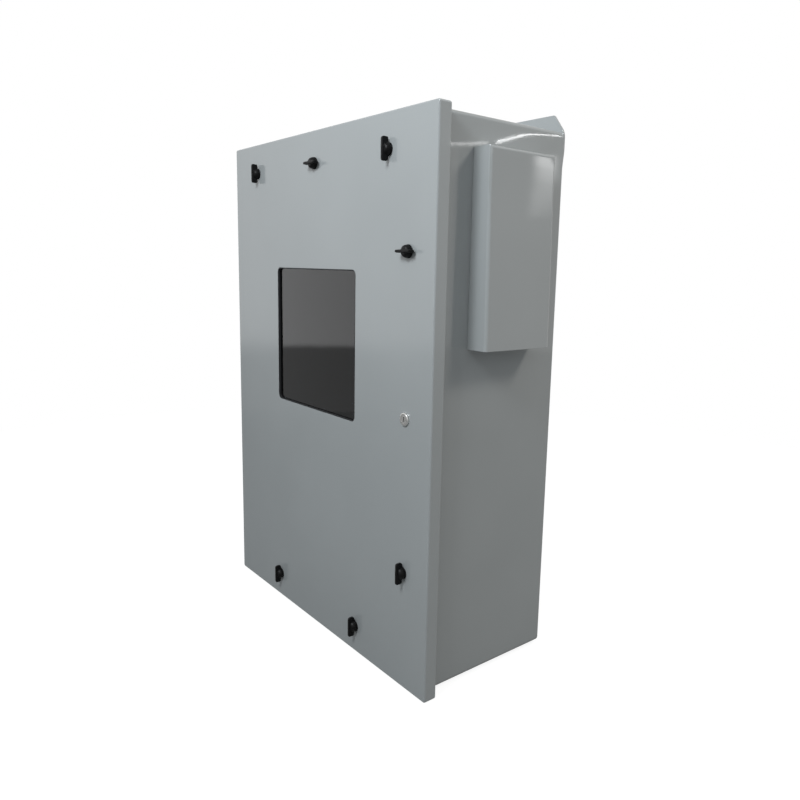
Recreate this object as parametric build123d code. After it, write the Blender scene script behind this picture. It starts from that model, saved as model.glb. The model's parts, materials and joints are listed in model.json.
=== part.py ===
from build123d import *
import os

# A wall-mounting electrical enclosure in glass-fibre reinforced polyester, with a tray-shaped
# door that laps over the body, a window, seven quarter-turn latches, a key lock, three hinges
# hidden behind the door's left return, and a vent hood on the right side.
#
# Millimetres. X to the right seen from the front, +Y into the wall, +Z up. The origin is the
# centre of the body's rear face, so everything else lies at negative Y.

# Body
BODY_WIDTH = 710
BODY_HEIGHT = 1038
BODY_DEPTH = 319
BODY_WALL = 4
BODY_CORNER = 8
BODY_REAR_EDGE = 6
SEALING_FLANGE = 5
MOUTH_CORNER = 10

# Door
DOOR_LAP_SIDE = 20
DOOR_LAP_TOP = 6
DOOR_WALL = 4
DOOR_RETURN = 27
DOOR_CORNER = 5
DOOR_FRONT_EDGE = 3
DOOR_TIP_EDGE = 2.5
DOOR_SPACE = 8
MOUTH_INSET = 46

# Rear top flange, by which the enclosure hangs
REAR_FLANGE_RISE = 34
REAR_FLANGE_THICKNESS = 5
REAR_FLANGE_END_INSET = 26
REAR_FLANGE_SHOULDER = 30
REAR_FLANGE_CORNER = 4
REAR_FLANGE_TAPER = 60

# Wall fixings: two holes in the rear top flange and two in the rear wall
FIXING_HALF_SPACING = 200
FIXING_HOLE_RADIUS = 5.5
FIXING_BOTTOM_INSET = 39
FIXING_PAD_RADIUS = 15
FIXING_PAD_HEIGHT = 3

# Mounting plate and what holds it
PLATE_SIDE_MARGIN = 51
PLATE_END_MARGIN = 65
PLATE_THICKNESS = 2.5
PLATE_CORNER = 6
PLATE_HOLE_INSET = 25
PLATE_STAND_OFF = 20
BOSS_RADIUS = 14
BOSS_FOOT_RADIUS = 18
STUD_RADIUS = 4
STUD_EMBEDDED = 15
STUD_FREE_LENGTH = 14
PLATE_WASHER_RADIUS = 8
PLATE_WASHER_THICKNESS = 1.6
PLATE_NUT_FLATS = 13
PLATE_NUT_THICKNESS = 6.5

# Door gasket in its channel
GASKET_WIDTH = 10
GASKET_CORNER = 12
CHANNEL_RIB = 2.5
CHANNEL_RIB_HEIGHT = 6

# Window
WINDOW_X = -16
WINDOW_BELOW_DOOR_TOP = 273
WINDOW_WIDTH = 312
WINDOW_HEIGHT = 296
WINDOW_CORNER = 11
WINDOW_LIP = 2
WINDOW_LIP_SETBACK = 0.5
WINDOW_SEAL = 1.5
PANE_OVERLAP = 14
PANE_THICKNESS = 4
FRAME_SHEET = 1.5
FRAME_BITE = 12
FRAME_FOOT = 17.5
WINDOW_STUD_RADIUS = 2
WINDOW_STUD_EMBEDDED = 2.5
WINDOW_NUT_FLATS = 7
WINDOW_NUT_THICKNESS = 3.2

# Quarter-turn latches
LATCH_ROWS_X = -10
LATCH_TOP_INSET = 64
LATCH_SIDE_INSET = 72
LATCH_BOTTOM_INSET = 56
LATCH_TOP_END_INSET = 124
LATCH_SIDE_BELOW_TOP = 239
LATCH_SIDE_ABOVE_BOTTOM = 228
LATCH_BOTTOM_END_INSET = 218
LATCH_SEAL = 1
BUSH_FLANGE_RADIUS = 12
BUSH_FLANGE_HEIGHT = 1.5
BUSH_BARREL_RADIUS = 9.9
LATCH_NUT_FLATS = 26
LATCH_NUT_THICKNESS = 5
SPINDLE_RADIUS = 6
TAIL_SQUARE = 8
SKIRT_RADIUS = 11.5
SKIRT_RIM = 1.5
NECK_RADIUS = 7.5
HUB_HEIGHT = 10
WING_LENGTH = 41
WING_THICKNESS = 6
WING_HEIGHT = 13.5
WING_CORNER = 3.5
CAM_REACH = 38
CAM_WIDTH = 16
CAM_THICKNESS = 3
CAM_LEAD_IN = 1.5
CAM_SCREW_RADIUS = 2.5
CAM_SCREW_HEAD_RADIUS = 5.5
CAM_SCREW_HEAD_HEIGHT = 3.5
CAM_SCREW_DEPTH = 12

# Key lock
LOCK_INSET = 73
LOCK_DROP = 8
LOCK_FLANGE_RADIUS = 12
LOCK_FLANGE_HEIGHT = 4
LOCK_BARREL_RADIUS = 9.4
LOCK_PLUG_RADIUS = 6.5
LOCK_NUT_FLATS = 24
LOCK_TAIL_SQUARE = 7
KEYHOLE_LENGTH = 9
KEYHOLE_WIDTH = 2
KEYHOLE_DEPTH = 7
LOCK_CAM_NUT_FLATS = 11
LOCK_CAM_NUT_THICKNESS = 3.5
LOCK_THREAD_RADIUS = 3

# Hinges
HINGE_END_INSET = 139
HINGE_HEIGHT = 70
KNUCKLE_RADIUS = 4.5
KNUCKLE_SHARE = 0.3
HINGE_TIP_SETBACK = 2
PIN_RADIUS = 2
BODY_LEAF = 2.5
BODY_LEAF_DEPTH = 28
BODY_LEAF_WEB = 2.5
DOOR_LEAF = 2
HINGE_SCREW_RADIUS = 2.4
HINGE_SCREW_HEAD_RADIUS = 4.4
HINGE_SCREW_HEAD_HEIGHT = 2
HINGE_SCREW_HALF_PITCH = 22
HINGE_NUT_FLATS = 8
HINGE_NUT_THICKNESS = 4

# Vent hood, cut-out and screen, all on the right side
VENT_CENTRE_FROM_FRONT = 177.5
HOOD_WIDTH = 165
HOOD_BELOW_BODY_TOP = 55
HOOD_HEIGHT = 347
HOOD_TOP_OUT = 42
HOOD_BOTTOM_OUT = 47
HOOD_WALL = 3
HOOD_EDGE = 6
HOOD_TURN_IN = 14
HOOD_SCREW_END_INSET = 24
VENT_WIDTH = 110
VENT_HEIGHT = 180
VENT_CORNER = 8
VENT_BELOW_HOOD_TOP = 54
SCREEN_MARGIN = 11
SCREEN_THICKNESS = 2
SCREEN_SLOTS = 15
SCREEN_SLOT_WIDTH = 5
SMALL_SCREW_RADIUS = 2
SMALL_SCREW_HEAD_RADIUS = 3.8
SMALL_SCREW_HEAD_HEIGHT = 2.2

# Clearances
RUNNING_FIT = 0.05
PRESSED_FIT = 0.02
HOLE_FIT = 0.2
SOFT_GAP = 0.3
AXIAL_GAP = 0.3
CAM_GAP = 0.5
PANE_EDGE_GAP = 1
KNUCKLE_GAP = 0.5
CUT_PAST = 1

# Planes and edges that several pieces share
BODY_FRONT = -BODY_DEPTH
BODY_SIDE = BODY_WIDTH / 2
BODY_TOP = BODY_HEIGHT / 2
BODY_INNER_SIDE = BODY_SIDE - BODY_WALL
BODY_INNER_TOP = BODY_TOP - BODY_WALL
FLANGE_REAR = BODY_FRONT + SEALING_FLANGE
DOOR_WIDTH = BODY_WIDTH + 2 * DOOR_LAP_SIDE
DOOR_HEIGHT = BODY_HEIGHT + 2 * DOOR_LAP_TOP
DOOR_BACK = BODY_FRONT - DOOR_SPACE
DOOR_FRONT = DOOR_BACK - DOOR_WALL
DOOR_TIP = DOOR_FRONT + DOOR_RETURN
GASKET_INSET = (DOOR_LAP_SIDE + MOUTH_INSET) / 2
MOUTH_WIDTH = DOOR_WIDTH - 2 * MOUTH_INSET
MOUTH_HEIGHT = DOOR_HEIGHT - 2 * MOUTH_INSET
PLATE_WIDTH = 2 * (BODY_INNER_SIDE - PLATE_SIDE_MARGIN)
PLATE_HEIGHT = 2 * (BODY_INNER_TOP - PLATE_END_MARGIN)
PLATE_REAR = -BODY_WALL - PLATE_STAND_OFF
PLATE_FRONT = PLATE_REAR - PLATE_THICKNESS
PLATE_WASHER_FRONT = PLATE_FRONT - PLATE_WASHER_THICKNESS
PLATE_HOLES = [
    (side * (PLATE_WIDTH / 2 - PLATE_HOLE_INSET), level * (PLATE_HEIGHT / 2 - PLATE_HOLE_INSET))
    for side in (-1, 1)
    for level in (-1, 1)
]
WINDOW_Z = (DOOR_HEIGHT - WINDOW_HEIGHT) / 2 - WINDOW_BELOW_DOOR_TOP
PANE_FRONT = DOOR_BACK + WINDOW_SEAL
PANE_BACK = PANE_FRONT + PANE_THICKNESS
HOOD_TOP = BODY_TOP - HOOD_BELOW_BODY_TOP
VENT_Y = DOOR_FRONT + VENT_CENTRE_FROM_FRONT
VENT_Z = HOOD_TOP - VENT_BELOW_HOOD_TOP - VENT_HEIGHT / 2
HOOD_BOTTOM = HOOD_TOP - HOOD_HEIGHT
HINGE_X = -DOOR_WIDTH / 2 + DOOR_WALL + KNUCKLE_GAP + KNUCKLE_RADIUS
HINGE_Y = DOOR_TIP - HINGE_TIP_SETBACK
HINGE_SCREW_ON_DOOR = (DOOR_BACK + HINGE_Y - KNUCKLE_RADIUS) / 2
HINGE_SCREW_ON_BODY = HINGE_Y + BODY_LEAF_DEPTH * 0.6

# Heights above the door's front face, as the latches and the lock use them
CAM_FRONT = DOOR_FRONT - FLANGE_REAR - CAM_GAP
CAM_REAR = CAM_FRONT - CAM_THICKNESS
BUSH_END = CAM_FRONT + 2 * AXIAL_GAP
BUSH_TOP = LATCH_SEAL + BUSH_FLANGE_HEIGHT
KNOB_BASE = BUSH_TOP + AXIAL_GAP

# Each latch: place on the door, direction of its cam when unlatched and of its wing, in
# degrees anticlockwise seen from the front. The cam's direction counts from straight up, the
# wing's from level. The cam fits on the square tail in whichever position suits its edge.
LATCH_TOP_Z = DOOR_HEIGHT / 2 - LATCH_TOP_INSET
LATCH_BOTTOM_Z = LATCH_BOTTOM_INSET - DOOR_HEIGHT / 2
LATCH_TOP_PITCH = DOOR_WIDTH / 2 - LATCH_TOP_END_INSET
LATCH_BOTTOM_HALF_PITCH = DOOR_WIDTH / 2 - LATCH_BOTTOM_END_INSET
LATCH_SIDE_X = DOOR_WIDTH / 2 - LATCH_SIDE_INSET
LATCH_SIDE_UPPER_Z = DOOR_HEIGHT / 2 - LATCH_SIDE_BELOW_TOP
LATCH_SIDE_LOWER_Z = LATCH_SIDE_ABOVE_BOTTOM - DOOR_HEIGHT / 2
LATCHES = {
    "top_left": (LATCH_ROWS_X - LATCH_TOP_PITCH, LATCH_TOP_Z, 90, 90),
    "top_middle": (LATCH_ROWS_X, LATCH_TOP_Z, 90, 0),
    "top_right": (LATCH_ROWS_X + LATCH_TOP_PITCH, LATCH_TOP_Z, 90, 90),
    "side_upper": (LATCH_SIDE_X, LATCH_SIDE_UPPER_Z, 0, 0),
    "side_lower": (LATCH_SIDE_X, LATCH_SIDE_LOWER_Z, 0, 90),
    "bottom_right": (LATCH_ROWS_X + LATCH_BOTTOM_HALF_PITCH, LATCH_BOTTOM_Z, -90, 90),
    "bottom_left": (LATCH_ROWS_X - LATCH_BOTTOM_HALF_PITCH, LATCH_BOTTOM_Z, -90, 90),
}
LOCK_X = DOOR_WIDTH / 2 - LOCK_INSET
LOCK_Z = -LOCK_DROP
LOCK_CAM_REACH = CAM_REACH + LOCK_INSET - LATCH_SIDE_INSET
HINGE_TOP_Z = BODY_TOP - HINGE_END_INSET
HINGES = {"upper": HINGE_TOP_Z, "middle": 0, "lower": -HINGE_TOP_Z}

TOP_DOWN = (Align.CENTER, Align.CENTER, Align.MAX)
BOTTOM_UP = (Align.CENTER, Align.CENTER, Align.MIN)


def facing_front(x, y, z):
    """A plane that looks forward: its own X is to the right and its own Y is up."""
    return Plane(origin=(x, y, z), x_dir=(1, 0, 0), z_dir=(0, -1, 0))


def facing_right(x, y, z):
    """A plane that looks out of the right side: its own X runs to the rear, its own Y up."""
    return Plane(origin=(x, y, z), x_dir=(0, 1, 0), z_dir=(1, 0, 0))


def slab(width, height, rear, front, corner=0, x=0, z=0):
    """A flat piece seen from the front, between two depths."""
    outline = RectangleRounded(width, height, corner) if corner else Rectangle(width, height)
    return extrude(facing_front(x, rear, z) * outline, rear - front)


def side_slab(width, height, inner, outer, corner, y, z):
    """A flat piece that lies along the right side, between two distances from the middle."""
    return extrude(facing_right(inner, y, z) * RectangleRounded(width, height, corner), outer - inner)


def rod(radius, rear, front, x, z):
    """A round bar that runs forward."""
    return extrude(facing_front(x, rear, z) * Circle(radius), rear - front)


def side_rod(radius, inner, outer, y, z):
    """A round bar that runs to the right."""
    return extrude(facing_right(inner, y, z) * Circle(radius), outer - inner)


def group(solids):
    """Like pieces that share one node and stay separate solids."""
    return Compound([solid.solid() for solid in solids])


def hex_nut(flats, thickness, hole_radius):
    """A hexagon nut that stands on its own XY plane."""
    outline = RegularPolygon(flats / 2, 6, major_radius=False) - Circle(hole_radius)
    return extrude(outline, thickness)


def countersunk_screw(length, head_radius, head_height, shank_radius, ease=0):
    """A screw that points down from its flat head, or the hole for it when eased."""
    head = Cone(shank_radius + ease, head_radius + ease, head_height, align=TOP_DOWN)
    return head + Cylinder(shank_radius + ease, length, align=TOP_DOWN)


def pan_screw(length, head_radius, head_height, shank_radius):
    """A screw that points down from the underside of its bevelled round head."""
    head = Cylinder(head_radius, head_height, align=BOTTOM_UP)
    head = chamfer(head.edges().sort_by(Axis.Z)[-1], head_height * 0.3)
    return head + Cylinder(shank_radius, length, align=TOP_DOWN)


# Body


def rear_flange():
    """The upright flange above the body's top, with sloping ends that run into the rear edges."""
    top = BODY_TOP + REAR_FLANGE_RISE
    foot = BODY_TOP - REAR_FLANGE_RISE
    shoulder = BODY_TOP
    right = [
        (BODY_SIDE - BODY_REAR_EDGE, foot - REAR_FLANGE_TAPER),
        (BODY_SIDE, foot),
        (BODY_SIDE, shoulder),
        (BODY_SIDE - REAR_FLANGE_END_INSET, top),
    ]
    left = [(-x, z) for x, z in reversed(right)]
    outline = make_face(Polyline(*right, *left, close=True))
    corners = outline.vertices().group_by(Axis.Y)
    outline = fillet(corners[-2], REAR_FLANGE_SHOULDER)
    outline = fillet(outline.vertices().group_by(Axis.Y)[-1], REAR_FLANGE_CORNER)
    return extrude(facing_front(0, 0, 0) * outline, REAR_FLANGE_THICKNESS)


def enclosure_body():
    """The moulded body: five walls, the sealing flange round its mouth, bosses and flange."""
    shell = slab(BODY_WIDTH, BODY_HEIGHT, 0, BODY_FRONT, BODY_CORNER)
    shell = fillet(shell.edges().group_by(Axis.Y)[-1], BODY_REAR_EDGE)
    shell += rear_flange()
    shell -= slab(
        BODY_WIDTH - 2 * BODY_WALL,
        BODY_HEIGHT - 2 * BODY_WALL,
        -BODY_WALL,
        FLANGE_REAR,
        BODY_CORNER - BODY_WALL,
    )
    shell -= slab(MOUTH_WIDTH, MOUTH_HEIGHT, FLANGE_REAR + CUT_PAST, BODY_FRONT - CUT_PAST, MOUTH_CORNER)

    boss_height = PLATE_STAND_OFF
    for x, z in PLATE_HOLES:
        boss = Cone(BOSS_FOOT_RADIUS, BOSS_RADIUS, boss_height, align=BOTTOM_UP)
        shell += facing_front(x, -BODY_WALL, z).location * boss
        shell -= rod(STUD_RADIUS + PRESSED_FIT, PLATE_REAR + STUD_EMBEDDED, PLATE_REAR - CUT_PAST, x, z)

    fixing_top = BODY_TOP + REAR_FLANGE_RISE / 2
    fixing_bottom = -BODY_TOP + FIXING_BOTTOM_INSET
    for x in (-FIXING_HALF_SPACING, FIXING_HALF_SPACING):
        shell += rod(FIXING_PAD_RADIUS, -BODY_WALL, -BODY_WALL - FIXING_PAD_HEIGHT, x, fixing_bottom)
        for z in (fixing_top, fixing_bottom):
            shell -= rod(FIXING_HOLE_RADIUS, CUT_PAST, -PLATE_STAND_OFF, x, z)

    wall_past = BODY_INNER_SIDE - CUT_PAST
    side_past = BODY_SIDE + CUT_PAST
    shell -= side_slab(VENT_WIDTH, VENT_HEIGHT, wall_past, side_past, VENT_CORNER, VENT_Y, VENT_Z)
    for y, z in hood_screw_places() + screen_screw_places():
        shell -= side_rod(SMALL_SCREW_RADIUS + PRESSED_FIT, wall_past, side_past, y, z)
    for z in hinge_screw_levels():
        shell -= side_rod(HINGE_SCREW_RADIUS + HOLE_FIT, -side_past, -wall_past, HINGE_SCREW_ON_BODY, z)
    return shell


# Mounting plate


def mounting_plate():
    """The flat steel plate inside, which carries the equipment."""
    plate = slab(PLATE_WIDTH, PLATE_HEIGHT, PLATE_REAR, PLATE_FRONT, PLATE_CORNER)
    for x, z in PLATE_HOLES:
        plate -= rod(STUD_RADIUS + HOLE_FIT, PLATE_REAR + CUT_PAST, PLATE_FRONT - CUT_PAST, x, z)
    return plate


def plate_studs():
    """Studs moulded into the bosses."""
    rear = PLATE_REAR + STUD_EMBEDDED
    return group([rod(STUD_RADIUS, rear, PLATE_FRONT - STUD_FREE_LENGTH, x, z) for x, z in PLATE_HOLES])


def plate_washers():
    """Washers between the plate and its nuts."""
    washers = []
    for x, z in PLATE_HOLES:
        washer = rod(PLATE_WASHER_RADIUS, PLATE_FRONT, PLATE_WASHER_FRONT, x, z)
        washer -= rod(STUD_RADIUS + HOLE_FIT, PLATE_FRONT, PLATE_WASHER_FRONT, x, z)
        washers.append(washer)
    return group(washers)


def plate_nuts():
    """Nuts that hold the mounting plate."""
    nut = hex_nut(PLATE_NUT_FLATS, PLATE_NUT_THICKNESS, STUD_RADIUS + PRESSED_FIT)
    return group([facing_front(x, PLATE_WASHER_FRONT, z).location * nut for x, z in PLATE_HOLES])


# Vent


def hood_block(inset):
    """The hood as a solid block, or the hollow inside it when inset by its wall."""
    back = BODY_SIDE - (CUT_PAST if inset else 0)
    bottom = HOOD_BOTTOM - (CUT_PAST if inset else 0)
    side_view = Polyline(
        (back, bottom),
        (BODY_SIDE + HOOD_BOTTOM_OUT - inset, bottom),
        (BODY_SIDE + HOOD_TOP_OUT - inset, HOOD_TOP - inset),
        (back, HOOD_TOP - inset),
        close=True,
    )
    rear = VENT_Y + HOOD_WIDTH / 2 - inset
    block = extrude(facing_front(0, rear, 0) * make_face(side_view), HOOD_WIDTH - 2 * inset)
    outer_face = block.faces().sort_by(Axis.X)[-1]
    return fillet(outer_face.edges().sort_by(Axis.Z)[1:], HOOD_EDGE - inset)


def hood_screw_places():
    """Where the hood is screwed on from inside the body, as Y and Z."""
    reach = HOOD_WIDTH / 2 - HOOD_WALL - HOOD_TURN_IN / 2
    top = HOOD_TOP - HOOD_SCREW_END_INSET
    bottom = HOOD_BOTTOM + HOOD_SCREW_END_INSET
    return [(VENT_Y + side * reach, z) for side in (-1, 1) for z in (bottom, (bottom + top) / 2, top)]


def vent_hood():
    """The rain hood: three sides and a face, open below, with edges turned in at the back."""
    hood = hood_block(0) - hood_block(HOOD_WALL)
    turn_in = hood_block(0) & side_slab(
        HOOD_WIDTH, HOOD_HEIGHT, BODY_SIDE, BODY_SIDE + HOOD_WALL, CUT_PAST, VENT_Y, HOOD_BOTTOM + HOOD_HEIGHT / 2
    )
    window_bottom = HOOD_BOTTOM - HOOD_TURN_IN
    window_height = HOOD_TOP - HOOD_WALL - HOOD_TURN_IN - window_bottom
    turn_in -= side_slab(
        HOOD_WIDTH - 2 * (HOOD_WALL + HOOD_TURN_IN),
        window_height,
        BODY_SIDE - CUT_PAST,
        BODY_SIDE + HOOD_WALL + CUT_PAST,
        HOOD_EDGE,
        VENT_Y,
        window_bottom + window_height / 2,
    )
    hood += turn_in
    for y, z in hood_screw_places():
        hood -= side_rod(
            SMALL_SCREW_RADIUS + PRESSED_FIT, BODY_SIDE - CUT_PAST, BODY_SIDE + HOOD_WALL + CUT_PAST, y, z
        )
    return hood


def inside_screws(places, grip):
    """Pan-head screws that point outwards through the right wall."""
    screw = pan_screw(grip, SMALL_SCREW_HEAD_RADIUS, SMALL_SCREW_HEAD_HEIGHT, SMALL_SCREW_RADIUS)
    return [(y, z, Rot(0, -90, 0) * screw) for y, z in places]


def hood_screws():
    """Screws through the body's wall into the hood's turned-in edges."""
    grip = BODY_WALL + HOOD_WALL + CUT_PAST
    return group([Pos(BODY_INNER_SIDE, y, z) * screw for y, z, screw in inside_screws(hood_screw_places(), grip)])


def screen_screw_places():
    """Where the vent screen is screwed to the inside of the wall, as Y and Z."""
    reach = (VENT_WIDTH + SCREEN_MARGIN) / 2
    rise = (VENT_HEIGHT + SCREEN_MARGIN) / 2
    return [(VENT_Y + side * reach, VENT_Z + level * rise) for side in (-1, 1) for level in (-1, 1)]


def vent_screen():
    """The slotted plate over the vent cut-out, inside the wall."""
    width = VENT_WIDTH + 2 * SCREEN_MARGIN
    height = VENT_HEIGHT + 2 * SCREEN_MARGIN
    inner = BODY_INNER_SIDE - SCREEN_THICKNESS
    screen = side_slab(width, height, inner, BODY_INNER_SIDE, SCREEN_MARGIN / 2, VENT_Y, VENT_Z)
    pitch = VENT_HEIGHT / SCREEN_SLOTS
    slot = SlotOverall(VENT_WIDTH - SCREEN_SLOT_WIDTH, SCREEN_SLOT_WIDTH)
    for row in range(SCREEN_SLOTS):
        level = VENT_Z + (row - (SCREEN_SLOTS - 1) / 2) * pitch
        plane = facing_right(inner - CUT_PAST, VENT_Y, level)
        screen -= extrude(plane * slot, SCREEN_THICKNESS + 2 * CUT_PAST)
    for y, z in screen_screw_places():
        screen -= side_rod(SMALL_SCREW_RADIUS + PRESSED_FIT, inner - CUT_PAST, BODY_SIDE, y, z)
    return screen


def screen_screws():
    """Screws that hold the vent screen."""
    seat = BODY_INNER_SIDE - SCREEN_THICKNESS
    grip = SCREEN_THICKNESS + BODY_WALL - CUT_PAST / 2
    return group([Pos(seat, y, z) * screw for y, z, screw in inside_screws(screen_screw_places(), grip)])


# Door


def channel_rib(offset):
    """One rib of the gasket channel, offset outwards or inwards from the gasket's centre line."""
    width = DOOR_WIDTH - 2 * GASKET_INSET + 2 * offset
    height = DOOR_HEIGHT - 2 * GASKET_INSET + 2 * offset
    corner = GASKET_CORNER + offset
    top = DOOR_BACK + CHANNEL_RIB_HEIGHT
    rib = slab(width + CHANNEL_RIB, height + CHANNEL_RIB, top, DOOR_BACK, corner + CHANNEL_RIB / 2)
    return rib - slab(width - CHANNEL_RIB, height - CHANNEL_RIB, top, DOOR_BACK, corner - CHANNEL_RIB / 2)


def door():
    """The moulded door: a shallow tray with its window opening, gasket channel and holes."""
    tray = slab(DOOR_WIDTH, DOOR_HEIGHT, DOOR_TIP, DOOR_FRONT, DOOR_CORNER)
    tray = fillet(tray.edges().group_by(Axis.Y)[0], DOOR_FRONT_EDGE)
    tray = fillet(tray.edges().group_by(Axis.Y)[-1], DOOR_TIP_EDGE)
    tray -= slab(
        DOOR_WIDTH - 2 * DOOR_WALL,
        DOOR_HEIGHT - 2 * DOOR_WALL,
        DOOR_TIP + CUT_PAST,
        DOOR_BACK,
        max(DOOR_CORNER - DOOR_WALL, CUT_PAST),
    )
    rib_offset = GASKET_WIDTH / 2 + SOFT_GAP + CHANNEL_RIB / 2
    tray += channel_rib(rib_offset)
    tray += channel_rib(-rib_offset)

    front_past = DOOR_FRONT - CUT_PAST
    back_past = DOOR_BACK + CUT_PAST
    tray -= slab(WINDOW_WIDTH, WINDOW_HEIGHT, back_past, front_past, WINDOW_CORNER, WINDOW_X, WINDOW_Z)
    for x, z in window_stud_places():
        tray -= rod(WINDOW_STUD_RADIUS + PRESSED_FIT, back_past, DOOR_BACK - WINDOW_STUD_EMBEDDED, x, z)
    for x, z, _, _ in LATCHES.values():
        tray -= rod(BUSH_BARREL_RADIUS + RUNNING_FIT, back_past, front_past, x, z)
    tray -= rod(LOCK_BARREL_RADIUS + RUNNING_FIT, back_past, front_past, LOCK_X, LOCK_Z)
    for z in hinge_screw_levels():
        tray -= door_leaf_screw_at(z, HOLE_FIT / 2)
    return tray


def door_gasket():
    """The soft gasket in the door's channel, which meets the body's sealing flange."""
    width = DOOR_WIDTH - 2 * GASKET_INSET
    height = DOOR_HEIGHT - 2 * GASKET_INSET
    top = BODY_FRONT - SOFT_GAP
    half = GASKET_WIDTH / 2
    ring = slab(width + GASKET_WIDTH, height + GASKET_WIDTH, top, DOOR_BACK, GASKET_CORNER + half)
    return ring - slab(width - GASKET_WIDTH, height - GASKET_WIDTH, top, DOOR_BACK, GASKET_CORNER - half)


# Window


def window_ring(outer, inner, rear, front):
    """A ring round the window, between two distances outside the edge of its opening."""
    ring = slab(
        WINDOW_WIDTH + 2 * outer, WINDOW_HEIGHT + 2 * outer, rear, front, WINDOW_CORNER + outer, WINDOW_X, WINDOW_Z
    )
    return ring - slab(
        WINDOW_WIDTH + 2 * inner, WINDOW_HEIGHT + 2 * inner, rear, front, WINDOW_CORNER + inner, WINDOW_X, WINDOW_Z
    )


def window_pane():
    """The flat pane, clamped behind the door's face."""
    return slab(
        WINDOW_WIDTH + 2 * PANE_OVERLAP,
        WINDOW_HEIGHT + 2 * PANE_OVERLAP,
        PANE_BACK,
        PANE_FRONT,
        WINDOW_CORNER + PANE_OVERLAP,
        WINDOW_X,
        WINDOW_Z,
    )


def window_seal():
    """The black seal: a flat ring under the pane and a lip that lines the opening's edge."""
    flat = window_ring(PANE_OVERLAP, -WINDOW_LIP, PANE_FRONT, DOOR_BACK)
    lip = window_ring(-PRESSED_FIT, -WINDOW_LIP, DOOR_BACK, DOOR_FRONT + WINDOW_LIP_SETBACK)
    return flat + lip


def frame_web():
    """How far outside the opening's edge the retaining frame's upright web begins."""
    return PANE_OVERLAP + PANE_EDGE_GAP


def window_frame():
    """The folded retaining frame: a foot on the door, a web round the pane, a rim that clamps it."""
    web = frame_web()
    foot = window_ring(web + FRAME_SHEET + FRAME_FOOT, web, DOOR_BACK + FRAME_SHEET, DOOR_BACK)
    upright = window_ring(web + FRAME_SHEET, web, PANE_BACK + FRAME_SHEET, DOOR_BACK)
    rim = window_ring(web + FRAME_SHEET, PANE_OVERLAP - FRAME_BITE, PANE_BACK + FRAME_SHEET, PANE_BACK)
    frame = foot + upright + rim
    for x, z in window_stud_places():
        frame -= rod(WINDOW_STUD_RADIUS + HOLE_FIT, DOOR_BACK + FRAME_SHEET + CUT_PAST, DOOR_BACK, x, z)
    return frame


def window_stud_places():
    """The frame's studs, at its corners and the middles of its sides, as X and Z."""
    out = frame_web() + FRAME_SHEET + FRAME_FOOT / 2
    reach = WINDOW_WIDTH / 2 + out
    rise = WINDOW_HEIGHT / 2 + out
    corner = FRAME_FOOT / 4
    places = [(WINDOW_X, WINDOW_Z + level * rise) for level in (-1, 1)]
    places += [(WINDOW_X + side * reach, WINDOW_Z) for side in (-1, 1)]
    for side in (-1, 1):
        for level in (-1, 1):
            places.append((WINDOW_X + side * (reach - corner), WINDOW_Z + level * (rise - corner)))
    return places


def window_studs():
    """Studs moulded into the door's inner face."""
    front = DOOR_BACK - WINDOW_STUD_EMBEDDED
    rear = DOOR_BACK + FRAME_SHEET + WINDOW_NUT_THICKNESS + WINDOW_STUD_RADIUS / 2
    return group([rod(WINDOW_STUD_RADIUS, rear, front, x, z) for x, z in window_stud_places()])


def window_nuts():
    """Nuts that clamp the retaining frame."""
    nut = hex_nut(WINDOW_NUT_FLATS, WINDOW_NUT_THICKNESS, WINDOW_STUD_RADIUS + PRESSED_FIT)
    rear = DOOR_BACK + FRAME_SHEET + WINDOW_NUT_THICKNESS
    return group([facing_front(x, rear, z).location * nut for x, z in window_stud_places()])


# Latches. Each piece is drawn on the door's front face at the latch's axis, with its own Z
# pointing out of the door.


def on_door(piece, x, z, turn=0):
    """Set a latch or lock piece in its place on the door, turned about its own axis."""
    return facing_front(x, DOOR_FRONT, z).location * Rot(0, 0, turn) * piece


def latch_knob():
    """The wing knob with its round spindle and the square tail that turns the cam."""
    hub_top = KNOB_BASE + HUB_HEIGHT
    rim_top = KNOB_BASE + SKIRT_RIM
    dome = ThreePointArc(
        (SKIRT_RADIUS, rim_top),
        ((SKIRT_RADIUS + NECK_RADIUS) / 2 + SKIRT_RIM / 2, (rim_top + hub_top) / 2 + SKIRT_RIM / 2),
        (NECK_RADIUS, hub_top),
    )
    foot = Polyline((NECK_RADIUS, hub_top), (0, hub_top), (0, KNOB_BASE), (SKIRT_RADIUS, KNOB_BASE), (SKIRT_RADIUS, rim_top))
    hub = revolve(Plane.XZ * make_face(dome + foot), Axis.Z)
    wing_middle = KNOB_BASE + WING_HEIGHT / 2
    wing_side = Pos(0, wing_middle) * RectangleRounded(WING_LENGTH, WING_HEIGHT, WING_CORNER)
    wing = extrude(Plane.XZ * wing_side, WING_THICKNESS / 2, both=True)
    spindle = Pos(0, 0, BUSH_END - AXIAL_GAP) * Cylinder(
        SPINDLE_RADIUS, KNOB_BASE - BUSH_END + AXIAL_GAP, align=BOTTOM_UP
    )
    tail = Pos(0, 0, CAM_REAR) * Box(TAIL_SQUARE, TAIL_SQUARE, BUSH_END - AXIAL_GAP - CAM_REAR, align=BOTTOM_UP)
    thread = Pos(0, 0, CAM_REAR - CUT_PAST) * Cylinder(
        CAM_SCREW_RADIUS + PRESSED_FIT, CAM_SCREW_DEPTH + CUT_PAST, align=BOTTOM_UP
    )
    return hub + wing + spindle + tail - thread


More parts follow.
